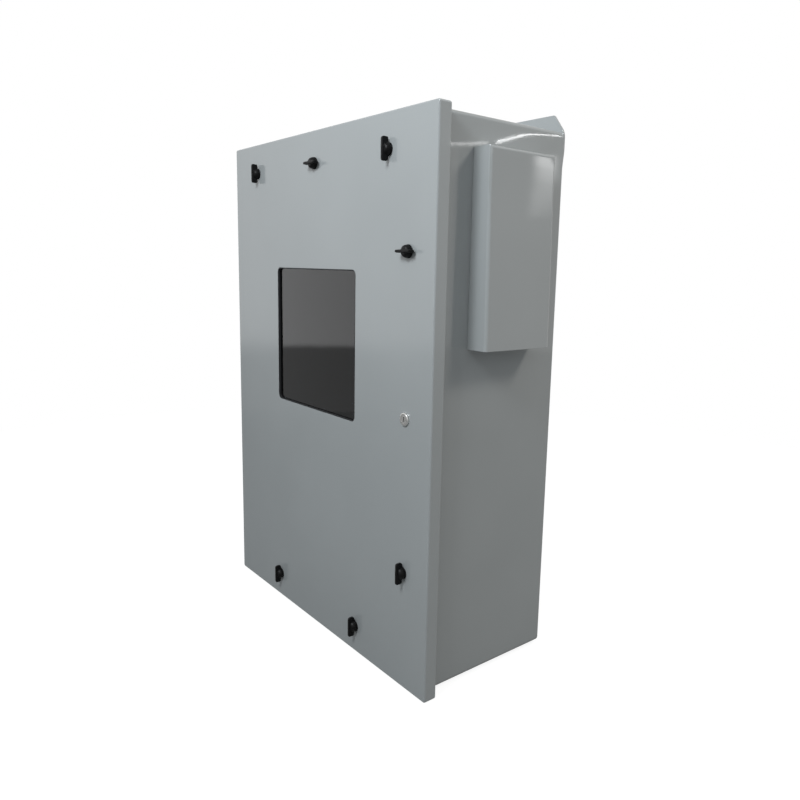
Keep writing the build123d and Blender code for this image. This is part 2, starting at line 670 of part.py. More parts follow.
def cam_blade(hole_square, reach):
    """A cam that points up: a flat blade with rounded corners and a lead-in at its tip."""
    half = CAM_WIDTH / 2
    blade = Pos(0, (reach - half) / 2) * RectangleRounded(CAM_WIDTH, reach + half, half / 2)
    blade -= Rectangle(hole_square + HOLE_FIT, hole_square + HOLE_FIT)
    cam = extrude(blade, CAM_THICKNESS)
    tip = cam.edges().filter_by(Axis.X).group_by(Axis.Y)[-1].sort_by(Axis.Z)[-1]
    cam = chamfer(tip, CAM_LEAD_IN)
    return Pos(0, 0, CAM_REAR) * cam


def cam_screw():
    """The screw that holds a cam on its tail."""
    screw = pan_screw(CAM_SCREW_DEPTH - CUT_PAST, CAM_SCREW_HEAD_RADIUS, CAM_SCREW_HEAD_HEIGHT, CAM_SCREW_RADIUS)
    return Pos(0, 0, CAM_REAR) * Rot(180, 0, 0) * screw


def latch_bush():
    """The fixed bush: a low round flange outside and a threaded barrel through the door."""
    flange = Pos(0, 0, LATCH_SEAL) * Cylinder(BUSH_FLANGE_RADIUS, BUSH_FLANGE_HEIGHT, align=BOTTOM_UP)
    flange = chamfer(flange.edges().sort_by(Axis.Z)[-1], BUSH_FLANGE_HEIGHT / 4)
    barrel = Pos(0, 0, BUSH_END) * Cylinder(BUSH_BARREL_RADIUS, LATCH_SEAL - BUSH_END, align=BOTTOM_UP)
    bore = Pos(0, 0, BUSH_END - CUT_PAST) * Cylinder(
        SPINDLE_RADIUS + RUNNING_FIT, BUSH_TOP - BUSH_END + 2 * CUT_PAST, align=BOTTOM_UP
    )
    return flange + barrel - bore


def latch_seal():
    """The rubber washer under a bush's flange."""
    ring = Circle(BUSH_FLANGE_RADIUS - LATCH_SEAL / 2) - Circle(BUSH_BARREL_RADIUS + RUNNING_FIT)
    return extrude(ring, LATCH_SEAL)


def latch_nut():
    """The flat nut on a bush, against the door's inner face."""
    nut = hex_nut(LATCH_NUT_FLATS, LATCH_NUT_THICKNESS, BUSH_BARREL_RADIUS + PRESSED_FIT)
    return Pos(0, 0, -DOOR_WALL - LATCH_NUT_THICKNESS) * nut


# Key lock


def lock_housing():
    """The plated housing: a rounded rim outside and a threaded barrel through the door."""
    rim = Cylinder(LOCK_FLANGE_RADIUS, LOCK_FLANGE_HEIGHT, align=BOTTOM_UP)
    rim = fillet(rim.edges().sort_by(Axis.Z)[-1], LOCK_FLANGE_HEIGHT / 2)
    barrel = Pos(0, 0, BUSH_END) * Cylinder(LOCK_BARREL_RADIUS, -BUSH_END, align=BOTTOM_UP)
    bore = Pos(0, 0, BUSH_END - CUT_PAST) * Cylinder(
        LOCK_PLUG_RADIUS + RUNNING_FIT, LOCK_FLANGE_HEIGHT - BUSH_END + 2 * CUT_PAST, align=BOTTOM_UP
    )
    return rim + barrel - bore


def lock_plug():
    """The plug that the key turns, with its keyhole, square tail and threaded end."""
    bottom = BUSH_END - AXIAL_GAP
    plug = Pos(0, 0, bottom) * Cylinder(LOCK_PLUG_RADIUS, LOCK_FLANGE_HEIGHT - AXIAL_GAP - bottom, align=BOTTOM_UP)
    tail = Pos(0, 0, CAM_REAR) * Box(LOCK_TAIL_SQUARE, LOCK_TAIL_SQUARE, bottom - CAM_REAR, align=BOTTOM_UP)
    thread_length = LOCK_CAM_NUT_THICKNESS + CUT_PAST
    thread = Pos(0, 0, CAM_REAR - thread_length) * Cylinder(LOCK_THREAD_RADIUS, thread_length, align=BOTTOM_UP)
    keyhole = Pos(0, 0, LOCK_FLANGE_HEIGHT - KEYHOLE_DEPTH) * Box(
        KEYHOLE_WIDTH, KEYHOLE_LENGTH, KEYHOLE_DEPTH, align=BOTTOM_UP
    )
    return plug + tail + thread - keyhole


def lock_cam_nut():
    """The nut that holds the lock's cam."""
    nut = hex_nut(LOCK_CAM_NUT_FLATS, LOCK_CAM_NUT_THICKNESS, LOCK_THREAD_RADIUS + PRESSED_FIT)
    return Pos(0, 0, CAM_REAR - LOCK_CAM_NUT_THICKNESS) * nut


def lock_nut():
    """The nut that holds the lock's housing in the door."""
    nut = hex_nut(LOCK_NUT_FLATS, LATCH_NUT_THICKNESS, LOCK_BARREL_RADIUS + PRESSED_FIT)
    return Pos(0, 0, -DOOR_WALL - LATCH_NUT_THICKNESS) * nut


# Hinges


def hinge_screw_levels():
    """The height of each hinge screw, the same on the door and on the body."""
    return [z + side * HINGE_SCREW_HALF_PITCH for z in HINGES.values() for side in (-1, 1)]


def box_between(x_range, y_range, z_range):
    """A block given by its two ends along each direction."""
    spans = [x_range, y_range, z_range]
    centre = [sum(span) / 2 for span in spans]
    sizes = [abs(span[1] - span[0]) for span in spans]
    return Pos(*centre) * Box(*sizes)


def knuckle(bottom, top, bore_radius):
    """One knuckle of a hinge, on the hinge's axis."""
    ring = Circle(KNUCKLE_RADIUS) - Circle(bore_radius)
    return Pos(HINGE_X, HINGE_Y, bottom) * extrude(ring, top - bottom)


def end_knuckle_spans(level):
    """The heights of a hinge's two end knuckles, which belong to the body."""
    half = HINGE_HEIGHT / 2
    share = HINGE_HEIGHT * KNUCKLE_SHARE
    return [(level - half, level - half + share), (level + half - share, level + half)]


def hinge_body_leaf(level):
    """The leaf screwed to the outside of the body, with the two end knuckles."""
    half = HINGE_HEIGHT / 2
    face = -BODY_SIDE - BODY_LEAF
    front = HINGE_Y - BODY_LEAF_WEB / 2
    leaf = box_between((face, -BODY_SIDE), (front, front + BODY_LEAF_DEPTH), (level - half, level + half))
    for bottom, top in end_knuckle_spans(level):
        web = box_between((HINGE_X, -BODY_SIDE), (front, front + BODY_LEAF_WEB), (bottom, top))
        web -= Pos(HINGE_X, HINGE_Y, (bottom + top) / 2) * Cylinder(PIN_RADIUS + PRESSED_FIT, top - bottom)
        leaf += web + knuckle(bottom, top, PIN_RADIUS + PRESSED_FIT)
    for side in (-1, 1):
        leaf -= body_leaf_screw_at(level + side * HINGE_SCREW_HALF_PITCH, PRESSED_FIT)
    return leaf


def hinge_door_leaf(level):
    """The leaf screwed inside the door's left return, with the middle knuckle."""
    half = HINGE_HEIGHT / 2
    outer = -DOOR_WIDTH / 2 + DOOR_WALL
    inner = outer + DOOR_LEAF
    plate_rear = HINGE_Y - KNUCKLE_RADIUS - 2 * KNUCKLE_GAP
    plate = box_between((outer, inner), (DOOR_BACK, plate_rear), (level - half, level + half))
    bottom = end_knuckle_spans(level)[0][1] + AXIAL_GAP
    top = end_knuckle_spans(level)[1][0] - AXIAL_GAP
    tab = box_between((outer, inner), (plate_rear, HINGE_Y), (bottom, top))
    tab -= Pos(HINGE_X, HINGE_Y, level) * Cylinder(PIN_RADIUS + RUNNING_FIT, top - bottom)
    leaf = plate + tab + knuckle(bottom, top, PIN_RADIUS + RUNNING_FIT)
    for side in (-1, 1):
        leaf -= door_leaf_screw_at(level + side * HINGE_SCREW_HALF_PITCH, PRESSED_FIT)
    return leaf


def hinge_pin(level):
    """The pin, held in the end knuckles, with a low head at its top."""
    half = HINGE_HEIGHT / 2
    pin = Pos(HINGE_X, HINGE_Y, level - half) * Cylinder(PIN_RADIUS, HINGE_HEIGHT, align=BOTTOM_UP)
    head = Cylinder((PIN_RADIUS + KNUCKLE_RADIUS) / 2, PIN_RADIUS, align=BOTTOM_UP)
    return pin + Pos(HINGE_X, HINGE_Y, level + half) * head


def hinge_screw(length, ease=0):
    """A countersunk hinge screw that points down from its head."""
    return countersunk_screw(length, HINGE_SCREW_HEAD_RADIUS, HINGE_SCREW_HEAD_HEIGHT, HINGE_SCREW_RADIUS, ease)


def door_leaf_screw_at(z, ease=0):
    """A screw from outside the door's left return into the leaf, or its hole when eased."""
    length = DOOR_WALL + DOOR_LEAF + (CUT_PAST if ease else 0)
    return Pos(-DOOR_WIDTH / 2, HINGE_SCREW_ON_DOOR, z) * Rot(0, -90, 0) * hinge_screw(length, ease)


def body_leaf_screw_at(z, ease=0):
    """A screw through the body's leaf and wall to its nut inside, or its hole when eased."""
    length = BODY_LEAF + BODY_WALL + HINGE_NUT_THICKNESS + CUT_PAST
    return Pos(-BODY_SIDE - BODY_LEAF, HINGE_SCREW_ON_BODY, z) * Rot(0, -90, 0) * hinge_screw(length, ease)


def hinge_nuts():
    """Nuts inside the body on the hinge screws."""
    nut = hex_nut(HINGE_NUT_FLATS, HINGE_NUT_THICKNESS, HINGE_SCREW_RADIUS + PRESSED_FIT)
    seat = Rot(0, 90, 0) * nut
    return group([Pos(-BODY_INNER_SIDE, HINGE_SCREW_ON_BODY, z) * seat for z in hinge_screw_levels()])


def latch_places():
    """The place of each latch on the door, as X and Z."""
    return [(x, z) for x, z, _, _ in LATCHES.values()]


def all_parts():
    """Every piece by the name of its node."""
    parts = {
        "enclosure_body": enclosure_body(),
        "mounting_plate": mounting_plate(),
        "plate_studs": plate_studs(),
        "plate_washers": plate_washers(),
        "plate_nuts": plate_nuts(),
        "vent_hood": vent_hood(),
        "vent_hood_screws": hood_screws(),
        "vent_screen": vent_screen(),
        "vent_screen_screws": screen_screws(),
        "door": door(),
        "door_gasket": door_gasket(),
        "window_pane": window_pane(),
        "window_seal": window_seal(),
        "window_frame": window_frame(),
        "window_studs": window_studs(),
        "window_nuts": window_nuts(),
        "latch_bushes": group([on_door(latch_bush(), x, z) for x, z in latch_places()]),
        "latch_seals": group([on_door(latch_seal(), x, z) for x, z in latch_places()]),
        "latch_nuts": group([on_door(latch_nut(), x, z) for x, z in latch_places()]),
        "lock_housing": on_door(lock_housing(), LOCK_X, LOCK_Z),
        "lock_nut": on_door(lock_nut(), LOCK_X, LOCK_Z),
        "lock_plug": on_door(lock_plug(), LOCK_X, LOCK_Z),
        "lock_cam": on_door(cam_blade(LOCK_TAIL_SQUARE, LOCK_CAM_REACH), LOCK_X, LOCK_Z),
        "lock_cam_nut": on_door(lock_cam_nut(), LOCK_X, LOCK_Z),
        "hinge_door_screws": group([door_leaf_screw_at(z) for z in hinge_screw_levels()]),
        "hinge_body_screws": group([body_leaf_screw_at(z) for z in hinge_screw_levels()]),
        "hinge_body_nuts": hinge_nuts(),
    }
    for name, (x, z, cam_turn, wing_turn) in LATCHES.items():
        parts["latch_knob_" + name] = on_door(latch_knob(), x, z, wing_turn)
        parts["latch_cam_" + name] = on_door(cam_blade(TAIL_SQUARE, CAM_REACH), x, z, cam_turn)
        parts["latch_cam_screw_" + name] = on_door(cam_screw(), x, z)
    for name, level in HINGES.items():
        parts["hinge_body_leaf_" + name] = hinge_body_leaf(level)
        parts["hinge_door_leaf_" + name] = hinge_door_leaf(level)
        parts["hinge_pin_" + name] = hinge_pin(level)
    return parts


os.makedirs("parts", exist_ok=True)
for name, shape in all_parts().items():
    export_step(shape, "parts/" + name + ".step")
    print(name)
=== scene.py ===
# %% [markdown]
# # Dressing a wall-mounting enclosure
# The frame holds every piece of the enclosure at its real size, as plain CAD surfaces. This
# lesson gives the pieces what light needs: sprayed gelcoat that is a little wavy, moulded
# nylon, plated steel, rubber and smoked polycarbonate, with the small radii, threads and
# recesses that the real ones have. Lengths are metres, in the frame's own axes: X to the
# right, +Y into the wall, Z up.

# %% Load the frame
import json
import math

import bmesh
import bpy
from mathutils import Matrix, Vector, noise


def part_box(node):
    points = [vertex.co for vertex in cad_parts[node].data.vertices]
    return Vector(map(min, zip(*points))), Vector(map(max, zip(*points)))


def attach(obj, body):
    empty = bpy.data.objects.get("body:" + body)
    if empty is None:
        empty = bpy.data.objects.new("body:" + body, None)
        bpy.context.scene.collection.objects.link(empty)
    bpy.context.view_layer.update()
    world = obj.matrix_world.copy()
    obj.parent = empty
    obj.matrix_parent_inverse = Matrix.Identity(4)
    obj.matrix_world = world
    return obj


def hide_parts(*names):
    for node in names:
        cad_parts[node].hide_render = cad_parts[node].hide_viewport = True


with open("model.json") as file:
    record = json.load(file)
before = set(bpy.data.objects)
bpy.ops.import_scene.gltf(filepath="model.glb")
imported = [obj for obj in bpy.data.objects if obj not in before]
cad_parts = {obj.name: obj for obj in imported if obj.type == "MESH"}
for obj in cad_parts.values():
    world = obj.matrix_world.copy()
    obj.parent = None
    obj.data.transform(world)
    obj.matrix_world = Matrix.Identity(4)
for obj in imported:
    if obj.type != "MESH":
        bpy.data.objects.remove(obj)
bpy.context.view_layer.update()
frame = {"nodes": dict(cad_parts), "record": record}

MM = 0.001
BODIES = frame["record"]["behaviour"]["bodies"]
BODY_OF = {node: body for body, nodes in BODIES.items() for node in nodes}

# %% [markdown]
# ## Small tools
# Most pieces start as a copy of their CAD surface. That surface arrives as loose triangles,
# so the copy is joined up and its flat faces are made whole. Then it can be softened along
# its edges, as every pressed, cast or machined edge is.

# %% Copies of the CAD surfaces
JOINED_WITHIN = 0.002 * MM
FLAT_WITHIN = math.radians(0.2)


def merged_copy(node):
    """A copy of a node's surface with its triangles joined and its flat faces whole."""
    surface = bmesh.new()
    surface.from_mesh(frame["nodes"][node].data)
    bmesh.ops.remove_doubles(surface, verts=surface.verts, dist=JOINED_WITHIN)
    bmesh.ops.dissolve_limit(
        surface, angle_limit=FLAT_WITHIN, verts=surface.verts, edges=surface.edges
    )
    return surface


def corners_of(verts):
    """The lowest and highest corner of the box round some vertices."""
    low = Vector([min(vert.co[axis] for vert in verts) for axis in range(3)])
    high = Vector([max(vert.co[axis] for vert in verts) for axis in range(3)])
    return low, high


def soften(surface, width, from_angle=50):
    """Round every edge that turns by more than an angle, and keep the surface inside its old box."""
    low, high = corners_of(surface.verts)
    edges = [
        edge
        for edge in surface.edges
        if len(edge.link_faces) == 2 and edge.calc_face_angle(0) > math.radians(from_angle)
    ]
    bmesh.ops.bevel(
        surface,
        geom=edges,
        offset=width,
        offset_type="OFFSET",
        segments=2,
        profile=0.5,
        affect="EDGES",
        clamp_overlap=False,
    )
    for vert in surface.verts:
        vert.co = [min(max(vert.co[axis], low[axis]), high[axis]) for axis in range(3)]


def add_piece(name, data):
    """Put a mesh, a lamp or a camera into the scene."""
    piece = bpy.data.objects.new(name, data)
    bpy.context.scene.collection.objects.link(piece)
    return piece


def bake(piece):
    """Turn a piece and its modifiers into one plain mesh."""
    graph = bpy.context.evaluated_depsgraph_get()
    mesh = bpy.data.meshes.new_from_object(
        piece.evaluated_get(graph), preserve_all_data_layers=True, depsgraph=graph
    )
    piece.modifiers.clear()
    piece.data = mesh
    mesh.name = piece.name


def smooth(piece, angle=28):
    """Shade a piece smooth between its sharp edges, with its flat faces kept flat."""
    piece.data.shade_smooth()
    piece.data.set_sharp_from_angle(angle=math.radians(angle))
    weighting = piece.modifiers.new("flat_faces", "WEIGHTED_NORMAL")
    weighting.keep_sharp = True
    bake(piece)


def stand_for(piece, *nodes):
    """A piece takes the place and the body of the nodes that it shows."""
    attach(piece, BODY_OF[nodes[0]])
    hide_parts(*nodes)


def piece_from(surface, name, *materials):
    """A piece from a finished surface."""
    mesh = bpy.data.meshes.new(name)
    surface.to_mesh(mesh)
    surface.free()
    for material in materials:
        mesh.materials.append(material)
    return add_piece(name, mesh)


def solids_of(node):
    """The lowest and highest corner of each separate solid in a node."""
    surface = merged_copy(node)
    boxes = []
    left = set(surface.verts)
    while left:
        found = {left.pop()}
        edge_of_search = set(found)
        while edge_of_search:
            near = {other for vert in edge_of_search for edge in vert.link_edges for other in edge.verts}
            edge_of_search = near - found
            found |= edge_of_search
        left -= found
        boxes.append(corners_of(found))
    surface.free()
    return sorted(boxes, key=lambda box: tuple(round(c, 4) for c in box[0]))


# %% Colours and nodes
def linear(hex_colour):
    """An sRGB colour such as #aab0b3 as linear light, with full opacity."""
    channels = [int(hex_colour[k : k + 2], 16) / 255 for k in (1, 3, 5)]
    light = tuple(c / 12.92 if c <= 0.04045 else ((c + 0.055) / 1.055) ** 2.4 for c in channels)
    return light + (1.0,)


def pin(sockets, name):
    """The socket of that name that is in use."""
    return next(socket for socket in sockets if socket.enabled and socket.name == name)


def add_node(tree, kind, settings=None, inputs=None):
    """Add a node with its settings, and link or set its inputs. A list links to one socket."""
    node = tree.nodes.new(kind)
    for name, value in (settings or {}).items():
        setattr(node, name, value)
    for name, value in (inputs or {}).items():
        socket = node.inputs[name] if isinstance(name, int) else pin(node.inputs, name)
        for source in value if isinstance(value, list) else [value]:
            if isinstance(source, bpy.types.Node):
                source = next(out for out in source.outputs if out.enabled)
            if isinstance(source, bpy.types.NodeSocket):
                tree.links.new(source, socket)
            else:
                socket.default_value = source
    return node


def start_material(name, colour, roughness, **more):
    """A material with its plain values on the shader's own sockets, and the place its patterns read."""
    material = bpy.data.materials.new(name)
    material.use_nodes = True
    tree = material.node_tree
    shader = tree.nodes["Principled BSDF"]
    shader.inputs["Base Color"].default_value = linear(colour)
    shader.inputs["Roughness"].default_value = roughness
    for socket, value in more.items():
        shader.inputs[socket.replace("_", " ")].default_value = value
    place = add_node(tree, "ShaderNodeTexCoord").outputs["Object"]
    return material, tree, shader, place


# %% [markdown]
# ## Gelcoat on glass-fibre laminate
# The case, the door and the hood are polyester reinforced with glass fibre. Their outside is
# gelcoat, sprayed into a polished mould before the laminate goes on. So it is glossy and
# even, with a faint orange peel about 4 mm across, and its grey drifts a little over a hand's
# width because the coat's thickness does. On the door, hands and cloths have rubbed the
# gloss down a little, so its reflections are softer. The inside has no mould behind it: it is
# the last layer of woven glass under a brushed flow coat, duller, with the weave showing
# through.


# %% Gelcoat
def sprayed_gelcoat(name, glossiest, dullest):
    """Polished polyester gelcoat: a reflection over an even light grey."""
    material, tree, shader, place = start_material(name, "#adb1b1", glossiest, IOR=1.54)
    drift = add_node(
        tree, "ShaderNodeTexNoise", inputs={"Vector": place, "Scale": 1 / (220 * MM), "Detail": 2.0}
    )
    tone = add_node(
        tree,
        "ShaderNodeMix",
        {"data_type": "RGBA"},
        {"Factor": drift.outputs["Fac"], "A": linear("#a8acac"), "B": linear("#b2b6b6")},
    )
    tree.links.new(pin(tone.outputs, "Result"), shader.inputs["Base Color"])
    handling = add_node(
        tree, "ShaderNodeTexNoise", inputs={"Vector": place, "Scale": 1 / (60 * MM), "Detail": 3.0}
    )
    gloss = add_node(
        tree,
        "ShaderNodeMapRange",
        inputs={"Value": handling.outputs["Fac"], "To Min": glossiest, "To Max": dullest},
    )
    tree.links.new(gloss.outputs["Result"], shader.inputs["Roughness"])
    peel = add_node(
        tree, "ShaderNodeTexNoise", inputs={"Vector": place, "Scale": 1 / (4 * MM), "Detail": 1.0}
    )
    bump = add_node(
        tree,
        "ShaderNodeBump",
        inputs={"Strength": 0.3, "Distance": 0.01 * MM, "Height": peel.outputs["Fac"]},
    )
    tree.links.new(bump.outputs["Normal"], shader.inputs["Normal"])
    return material


def flow_coated_laminate():
    """The inside of the laminate: woven glass under a brushed coat, dull and a little yellower."""
    material, tree, shader, place = start_material("flow_coated_laminate", "#9da09e", 0.42, IOR=1.54)
    weave_width = 6 * MM
    # At scale 1 a wave texture draws 20 bands in 2 pi metres.
    weave_scale = 1 / (weave_width * 20) * 2 * math.pi
    strands = [
        add_node(
            tree,
            "ShaderNodeTexWave",
            {"bands_direction": axis},
            {"Vector": place, "Scale": weave_scale, "Distortion": 1.5, "Detail": 1.0},
        )
        for axis in ("X", "Y", "Z")
    ]
    crossed = add_node(
        tree,
        "ShaderNodeMath",
        {"operation": "MULTIPLY"},
        {0: strands[0].outputs["Fac"], 1: strands[2].outputs["Fac"]},
    )
    woven = add_node(
        tree,
        "ShaderNodeMath",
        {"operation": "ADD"},
        {0: crossed.outputs["Value"], 1: strands[1].outputs["Fac"]},
    )
    pools = add_node(
        tree, "ShaderNodeTexNoise", inputs={"Vector": place, "Scale": 1 / (35 * MM), "Detail": 3.0}
    )
    tone = add_node(
        tree,
        "ShaderNodeMix",
        {"data_type": "RGBA"},
        {"Factor": pools.outputs["Fac"], "A": linear("#959893"), "B": linear("#a6a8a6")},
    )
    tree.links.new(pin(tone.outputs, "Result"), shader.inputs["Base Color"])
    relief = add_node(
        tree,
        "ShaderNodeMath",
        {"operation": "MULTIPLY"},
        {0: woven.outputs["Value"], 1: pools.outputs["Fac"]},
    )
    bump = add_node(
        tree,
        "ShaderNodeBump",
        inputs={"Strength": 0.8, "Distance": 0.15 * MM, "Height": relief.outputs["Value"]},
    )
    tree.links.new(bump.outputs["Normal"], shader.inputs["Normal"])
    return material


GELCOAT = sprayed_gelcoat("sprayed_polyester_gelcoat", 0.024, 0.04)
RUBBED_GELCOAT = sprayed_gelcoat("rubbed_polyester_gelcoat", 0.1, 0.16)
LAMINATE = flow_coated_laminate()
print("shell finishes:", GELCOAT.name, RUBBED_GELCOAT.name, LAMINATE.name)

# %% [markdown]
# ## Metals, nylon, rubber and polycarbonate
# Each metal is told apart by how it was made. Zinc plating has a cool, cloudy shine. Rolled
# stainless sheet has fine lines along its rolling direction, which stretch its highlights.
# Chromed die-casting is almost a mirror. The nylon is moulded in a spark-eroded tool, which
# leaves a fine even grain, and the rubber is close to matt. The window is smoked
# polycarbonate: it darkens what is behind it, and mirrors what is in front.


# %% Metals
def plated_steel():
    """Zinc-plated steel: cool, cloudy, half bright."""
    material, tree, shader, place = start_material("zinc_plated_steel", "#b4b8bd", 0.34, Metallic=1.0)
    clouds = add_node(
        tree, "ShaderNodeTexVoronoi", {"feature": "SMOOTH_F1"}, {"Vector": place, "Scale": 1 / (14 * MM)}
    )
    tone = add_node(
        tree,
        "ShaderNodeMix",
        {"data_type": "RGBA"},
        {"Factor": clouds.outputs["Distance"], "A": linear("#aab0b8"), "B": linear("#c0c2c2")},
    )
    tree.links.new(pin(tone.outputs, "Result"), shader.inputs["Base Color"])
    gloss = add_node(
        tree,
        "ShaderNodeMapRange",
        inputs={"Value": clouds.outputs["Distance"], "To Min": 0.28, "To Max": 0.44},
    )
    tree.links.new(gloss.outputs["Result"], shader.inputs["Roughness"])
    return material


def rolled_stainless():
    """Cold-rolled stainless steel with fine lines along its rolling direction."""
    material, tree, shader, place = start_material("cold_rolled_stainless", "#b3b1ac", 0.3, Metallic=1.0)
    line_width = 0.4 * MM
    along = add_node(
        tree,
        "ShaderNodeMapping",
        inputs={"Vector": place, "Scale": (1 / line_width, 1 / line_width, 1 / (60 * line_width))},
    )
    lines = add_node(tree, "ShaderNodeTexNoise", inputs={"Vector": along, "Scale": 1.0, "Detail": 2.0})
    gloss = add_node(
        tree, "ShaderNodeMapRange", inputs={"Value": lines.outputs["Fac"], "To Min": 0.2, "To Max": 0.42}
    )
    tree.links.new(gloss.outputs["Result"], shader.inputs["Roughness"])
    bump = add_node(
        tree,
        "ShaderNodeBump",
        inputs={"Strength": 0.3, "Distance": 0.005 * MM, "Height": lines.outputs["Fac"]},
    )
    tree.links.new(bump.outputs["Normal"], shader.inputs["Normal"])
    return material


def bright_chrome():
    """Chromed zinc die-casting: nearly a mirror, with a few duller patches from keys and hands."""
    material, tree, shader, place = start_material("chromed_zinc_casting", "#d8d8d6", 0.25, Metallic=1.0)
    touch = add_node(
        tree, "ShaderNodeTexNoise", inputs={"Vector": place, "Scale": 1 / (5 * MM), "Detail": 3.0}
    )
    gloss = add_node(
        tree, "ShaderNodeMapRange", inputs={"Value": touch.outputs["Fac"], "To Min": 0.15, "To Max": 0.35}
    )
    tree.links.new(gloss.outputs["Result"], shader.inputs["Roughness"])
    return material


ZINC = plated_steel()
STAINLESS = rolled_stainless()
CHROME = bright_chrome()


# %% Nylon, rubber and the window's polycarbonate
def moulded_nylon():
    """Glass-filled nylon from a spark-eroded mould: black, with a fine grain and a soft sheen."""
    material, tree, shader, place = start_material(
        "moulded_black_nylon", "#050506", 0.42, IOR=1.53, Specular_IOR_Level=0.2
    )
    grain = add_node(
        tree, "ShaderNodeTexNoise", inputs={"Vector": place, "Scale": 1 / (0.5 * MM), "Detail": 2.0}
    )
    bump = add_node(
        tree,
        "ShaderNodeBump",
        inputs={"Strength": 0.5, "Distance": 0.02 * MM, "Height": grain.outputs["Fac"]},
    )
    tree.links.new(bump.outputs["Normal"], shader.inputs["Normal"])
    rub = add_node(
        tree, "ShaderNodeTexNoise", inputs={"Vector": place, "Scale": 1 / (8 * MM), "Detail": 2.0}
    )
    gloss = add_node(
        tree, "ShaderNodeMapRange", inputs={"Value": rub.outputs["Fac"], "To Min": 0.34, "To Max": 0.5}
    )
    tree.links.new(gloss.outputs["Result"], shader.inputs["Roughness"])
    return material


def extruded_rubber():
    """Soft black rubber and foam: nearly matt, with closed cells about a millimetre across."""
    material, tree, shader, place = start_material("black_cellular_rubber", "#212224", 0.72, IOR=1.5)
    cells = add_node(tree, "ShaderNodeTexVoronoi", inputs={"Vector": place, "Scale": 1 / (0.9 * MM)})
    bump = add_node(
        tree,
        "ShaderNodeBump",
        inputs={"Strength": 0.4, "Distance": 0.04 * MM, "Height": cells.outputs["Distance"]},
    )
    tree.links.new(bump.outputs["Normal"], shader.inputs["Normal"])
    return material


def smoked_polycarbonate():
    """Smoke-tinted clear sheet: dark through its thickness, with a mirror-like face."""
    material, tree, shader, place = start_material(
        "smoked_polycarbonate", "#4a5056", 0.03, IOR=1.585, Transmission_Weight=1.0
    )
    pull = add_node(
        tree, "ShaderNodeTexNoise", inputs={"Vector": place, "Scale": 1 / (90 * MM), "Detail": 1.0}
    )
    bump = add_node(
        tree,
        "ShaderNodeBump",
        inputs={"Strength": 0.5, "Distance": 0.15 * MM, "Height": pull.outputs["Fac"]},
    )
    tree.links.new(bump.outputs["Normal"], shader.inputs["Normal"])
    return material


NYLON = moulded_nylon()
RUBBER = extruded_rubber()
SMOKED = smoked_polycarbonate()
print("finishes:", ZINC.name, STAINLESS.name, CHROME.name, NYLON.name, RUBBER.name, SMOKED.name)

# %% [markdown]
# ## The three moulded shells
# A laminate wall is never quite flat: it cures over hours and creeps off its mould by a few
# tenths of a millimetre. Nobody sees that as shape, but every long reflection shows it. Bump
# mapping could fake it, but the outline and the mesh would stay dead flat. Here the
# walls are cut into a grid and pushed inwards by a slow noise, both faces of a wall alike, so
# that its thickness stays. The side of the case and the hood have sunk a little deeper near
# their tops, which bends the long highlight there into an S.

# %% Waves in a moulded wall
GRID = 25 * MM
SKIN = 9 * MM
EDGE_REACH = 30 * MM
SHELL_EDGE = 0.5 * MM
WAVE_LENGTH = 130 * MM
X_AXIS, Y_AXIS = 0, 1


def cut_grid(surface, low, high):
    """Cut a surface along planes a grid step apart, in all three directions."""
    for axis in range(3):
        steps = max(int((high[axis] - low[axis]) / GRID), 1)
        for step in range(1, steps):
            point = Vector((0, 0, 0))
            point[axis] = low[axis] + (high[axis] - low[axis]) * step / steps
            normal = Vector((0, 0, 0))
            normal[axis] = 1
            everything = surface.verts[:] + surface.edges[:] + surface.faces[:]
            bmesh.ops.bisect_plane(surface, geom=everything, plane_co=point, plane_no=normal)


def ease(distance, reach):
    """0 at an edge, rising smoothly to 1 a given distance inside it."""
    share = min(max(distance / reach, 0), 1)
    return share * share * (3 - 2 * share)


def wave_walls(surface, low, high, walls, seed):
    """Push walls inwards by a slow noise. A wall is an axis, a side and the depth of its waves."""
    middle = (low + high) / 2
    half = (high - low) / 2
    for vert in surface.verts:
        place = vert.co.copy()
        for axis, side, depth in walls:
            if half[axis] - side * (place[axis] - middle[axis]) > SKIN:
                continue
            across = [k for k in range(3) if k != axis]
            flat = place.copy()
            flat[axis] = 0
            height = 0.5 + 0.5 * noise.noise(flat / WAVE_LENGTH + Vector((seed, seed + side, axis)))
            fade = 1
            for k in across:
                fade *= ease(half[k] - abs(place[k] - middle[k]), EDGE_REACH)
            vert.co[axis] -= side * depth * height * fade


def sink_hollow(surface, wall_from, centre, reach, depth):
    """Sink a soft hollow into the wall that faces +X and lies beyond a given X."""
    for vert in surface.verts:
        if vert.co.x < wall_from:
            continue
        share = 1
        for axis in (1, 2):
            off = min(abs(vert.co[axis] - centre[axis]) / reach[axis], 1)
            share *= (1 - off**2) ** 2
        vert.co.x -= depth * share


def moulded_shell(node, name, walls, hollow, seed, is_inside, finish=GELCOAT):
    """A shell with softened edges and wavy walls, and laminate on its inner faces."""
    low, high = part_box(node)
    surface = merged_copy(node)
    soften(surface, SHELL_EDGE)
    cut_grid(surface, low, high)
    wave_walls(surface, low, high, walls, seed)
    if hollow:
        sink_hollow(surface, high.x - SKIN, *hollow)
    for face in surface.faces:
        face.material_index = 1 if is_inside(face.calc_center_median()) else 0
    piece = piece_from(surface, name, finish, LAMINATE)
    smooth(piece)
    stand_for(piece, node)
    inner = sum(face.material_index for face in piece.data.polygons)
    print(name, "faces:", len(piece.data.polygons), "inside:", inner)


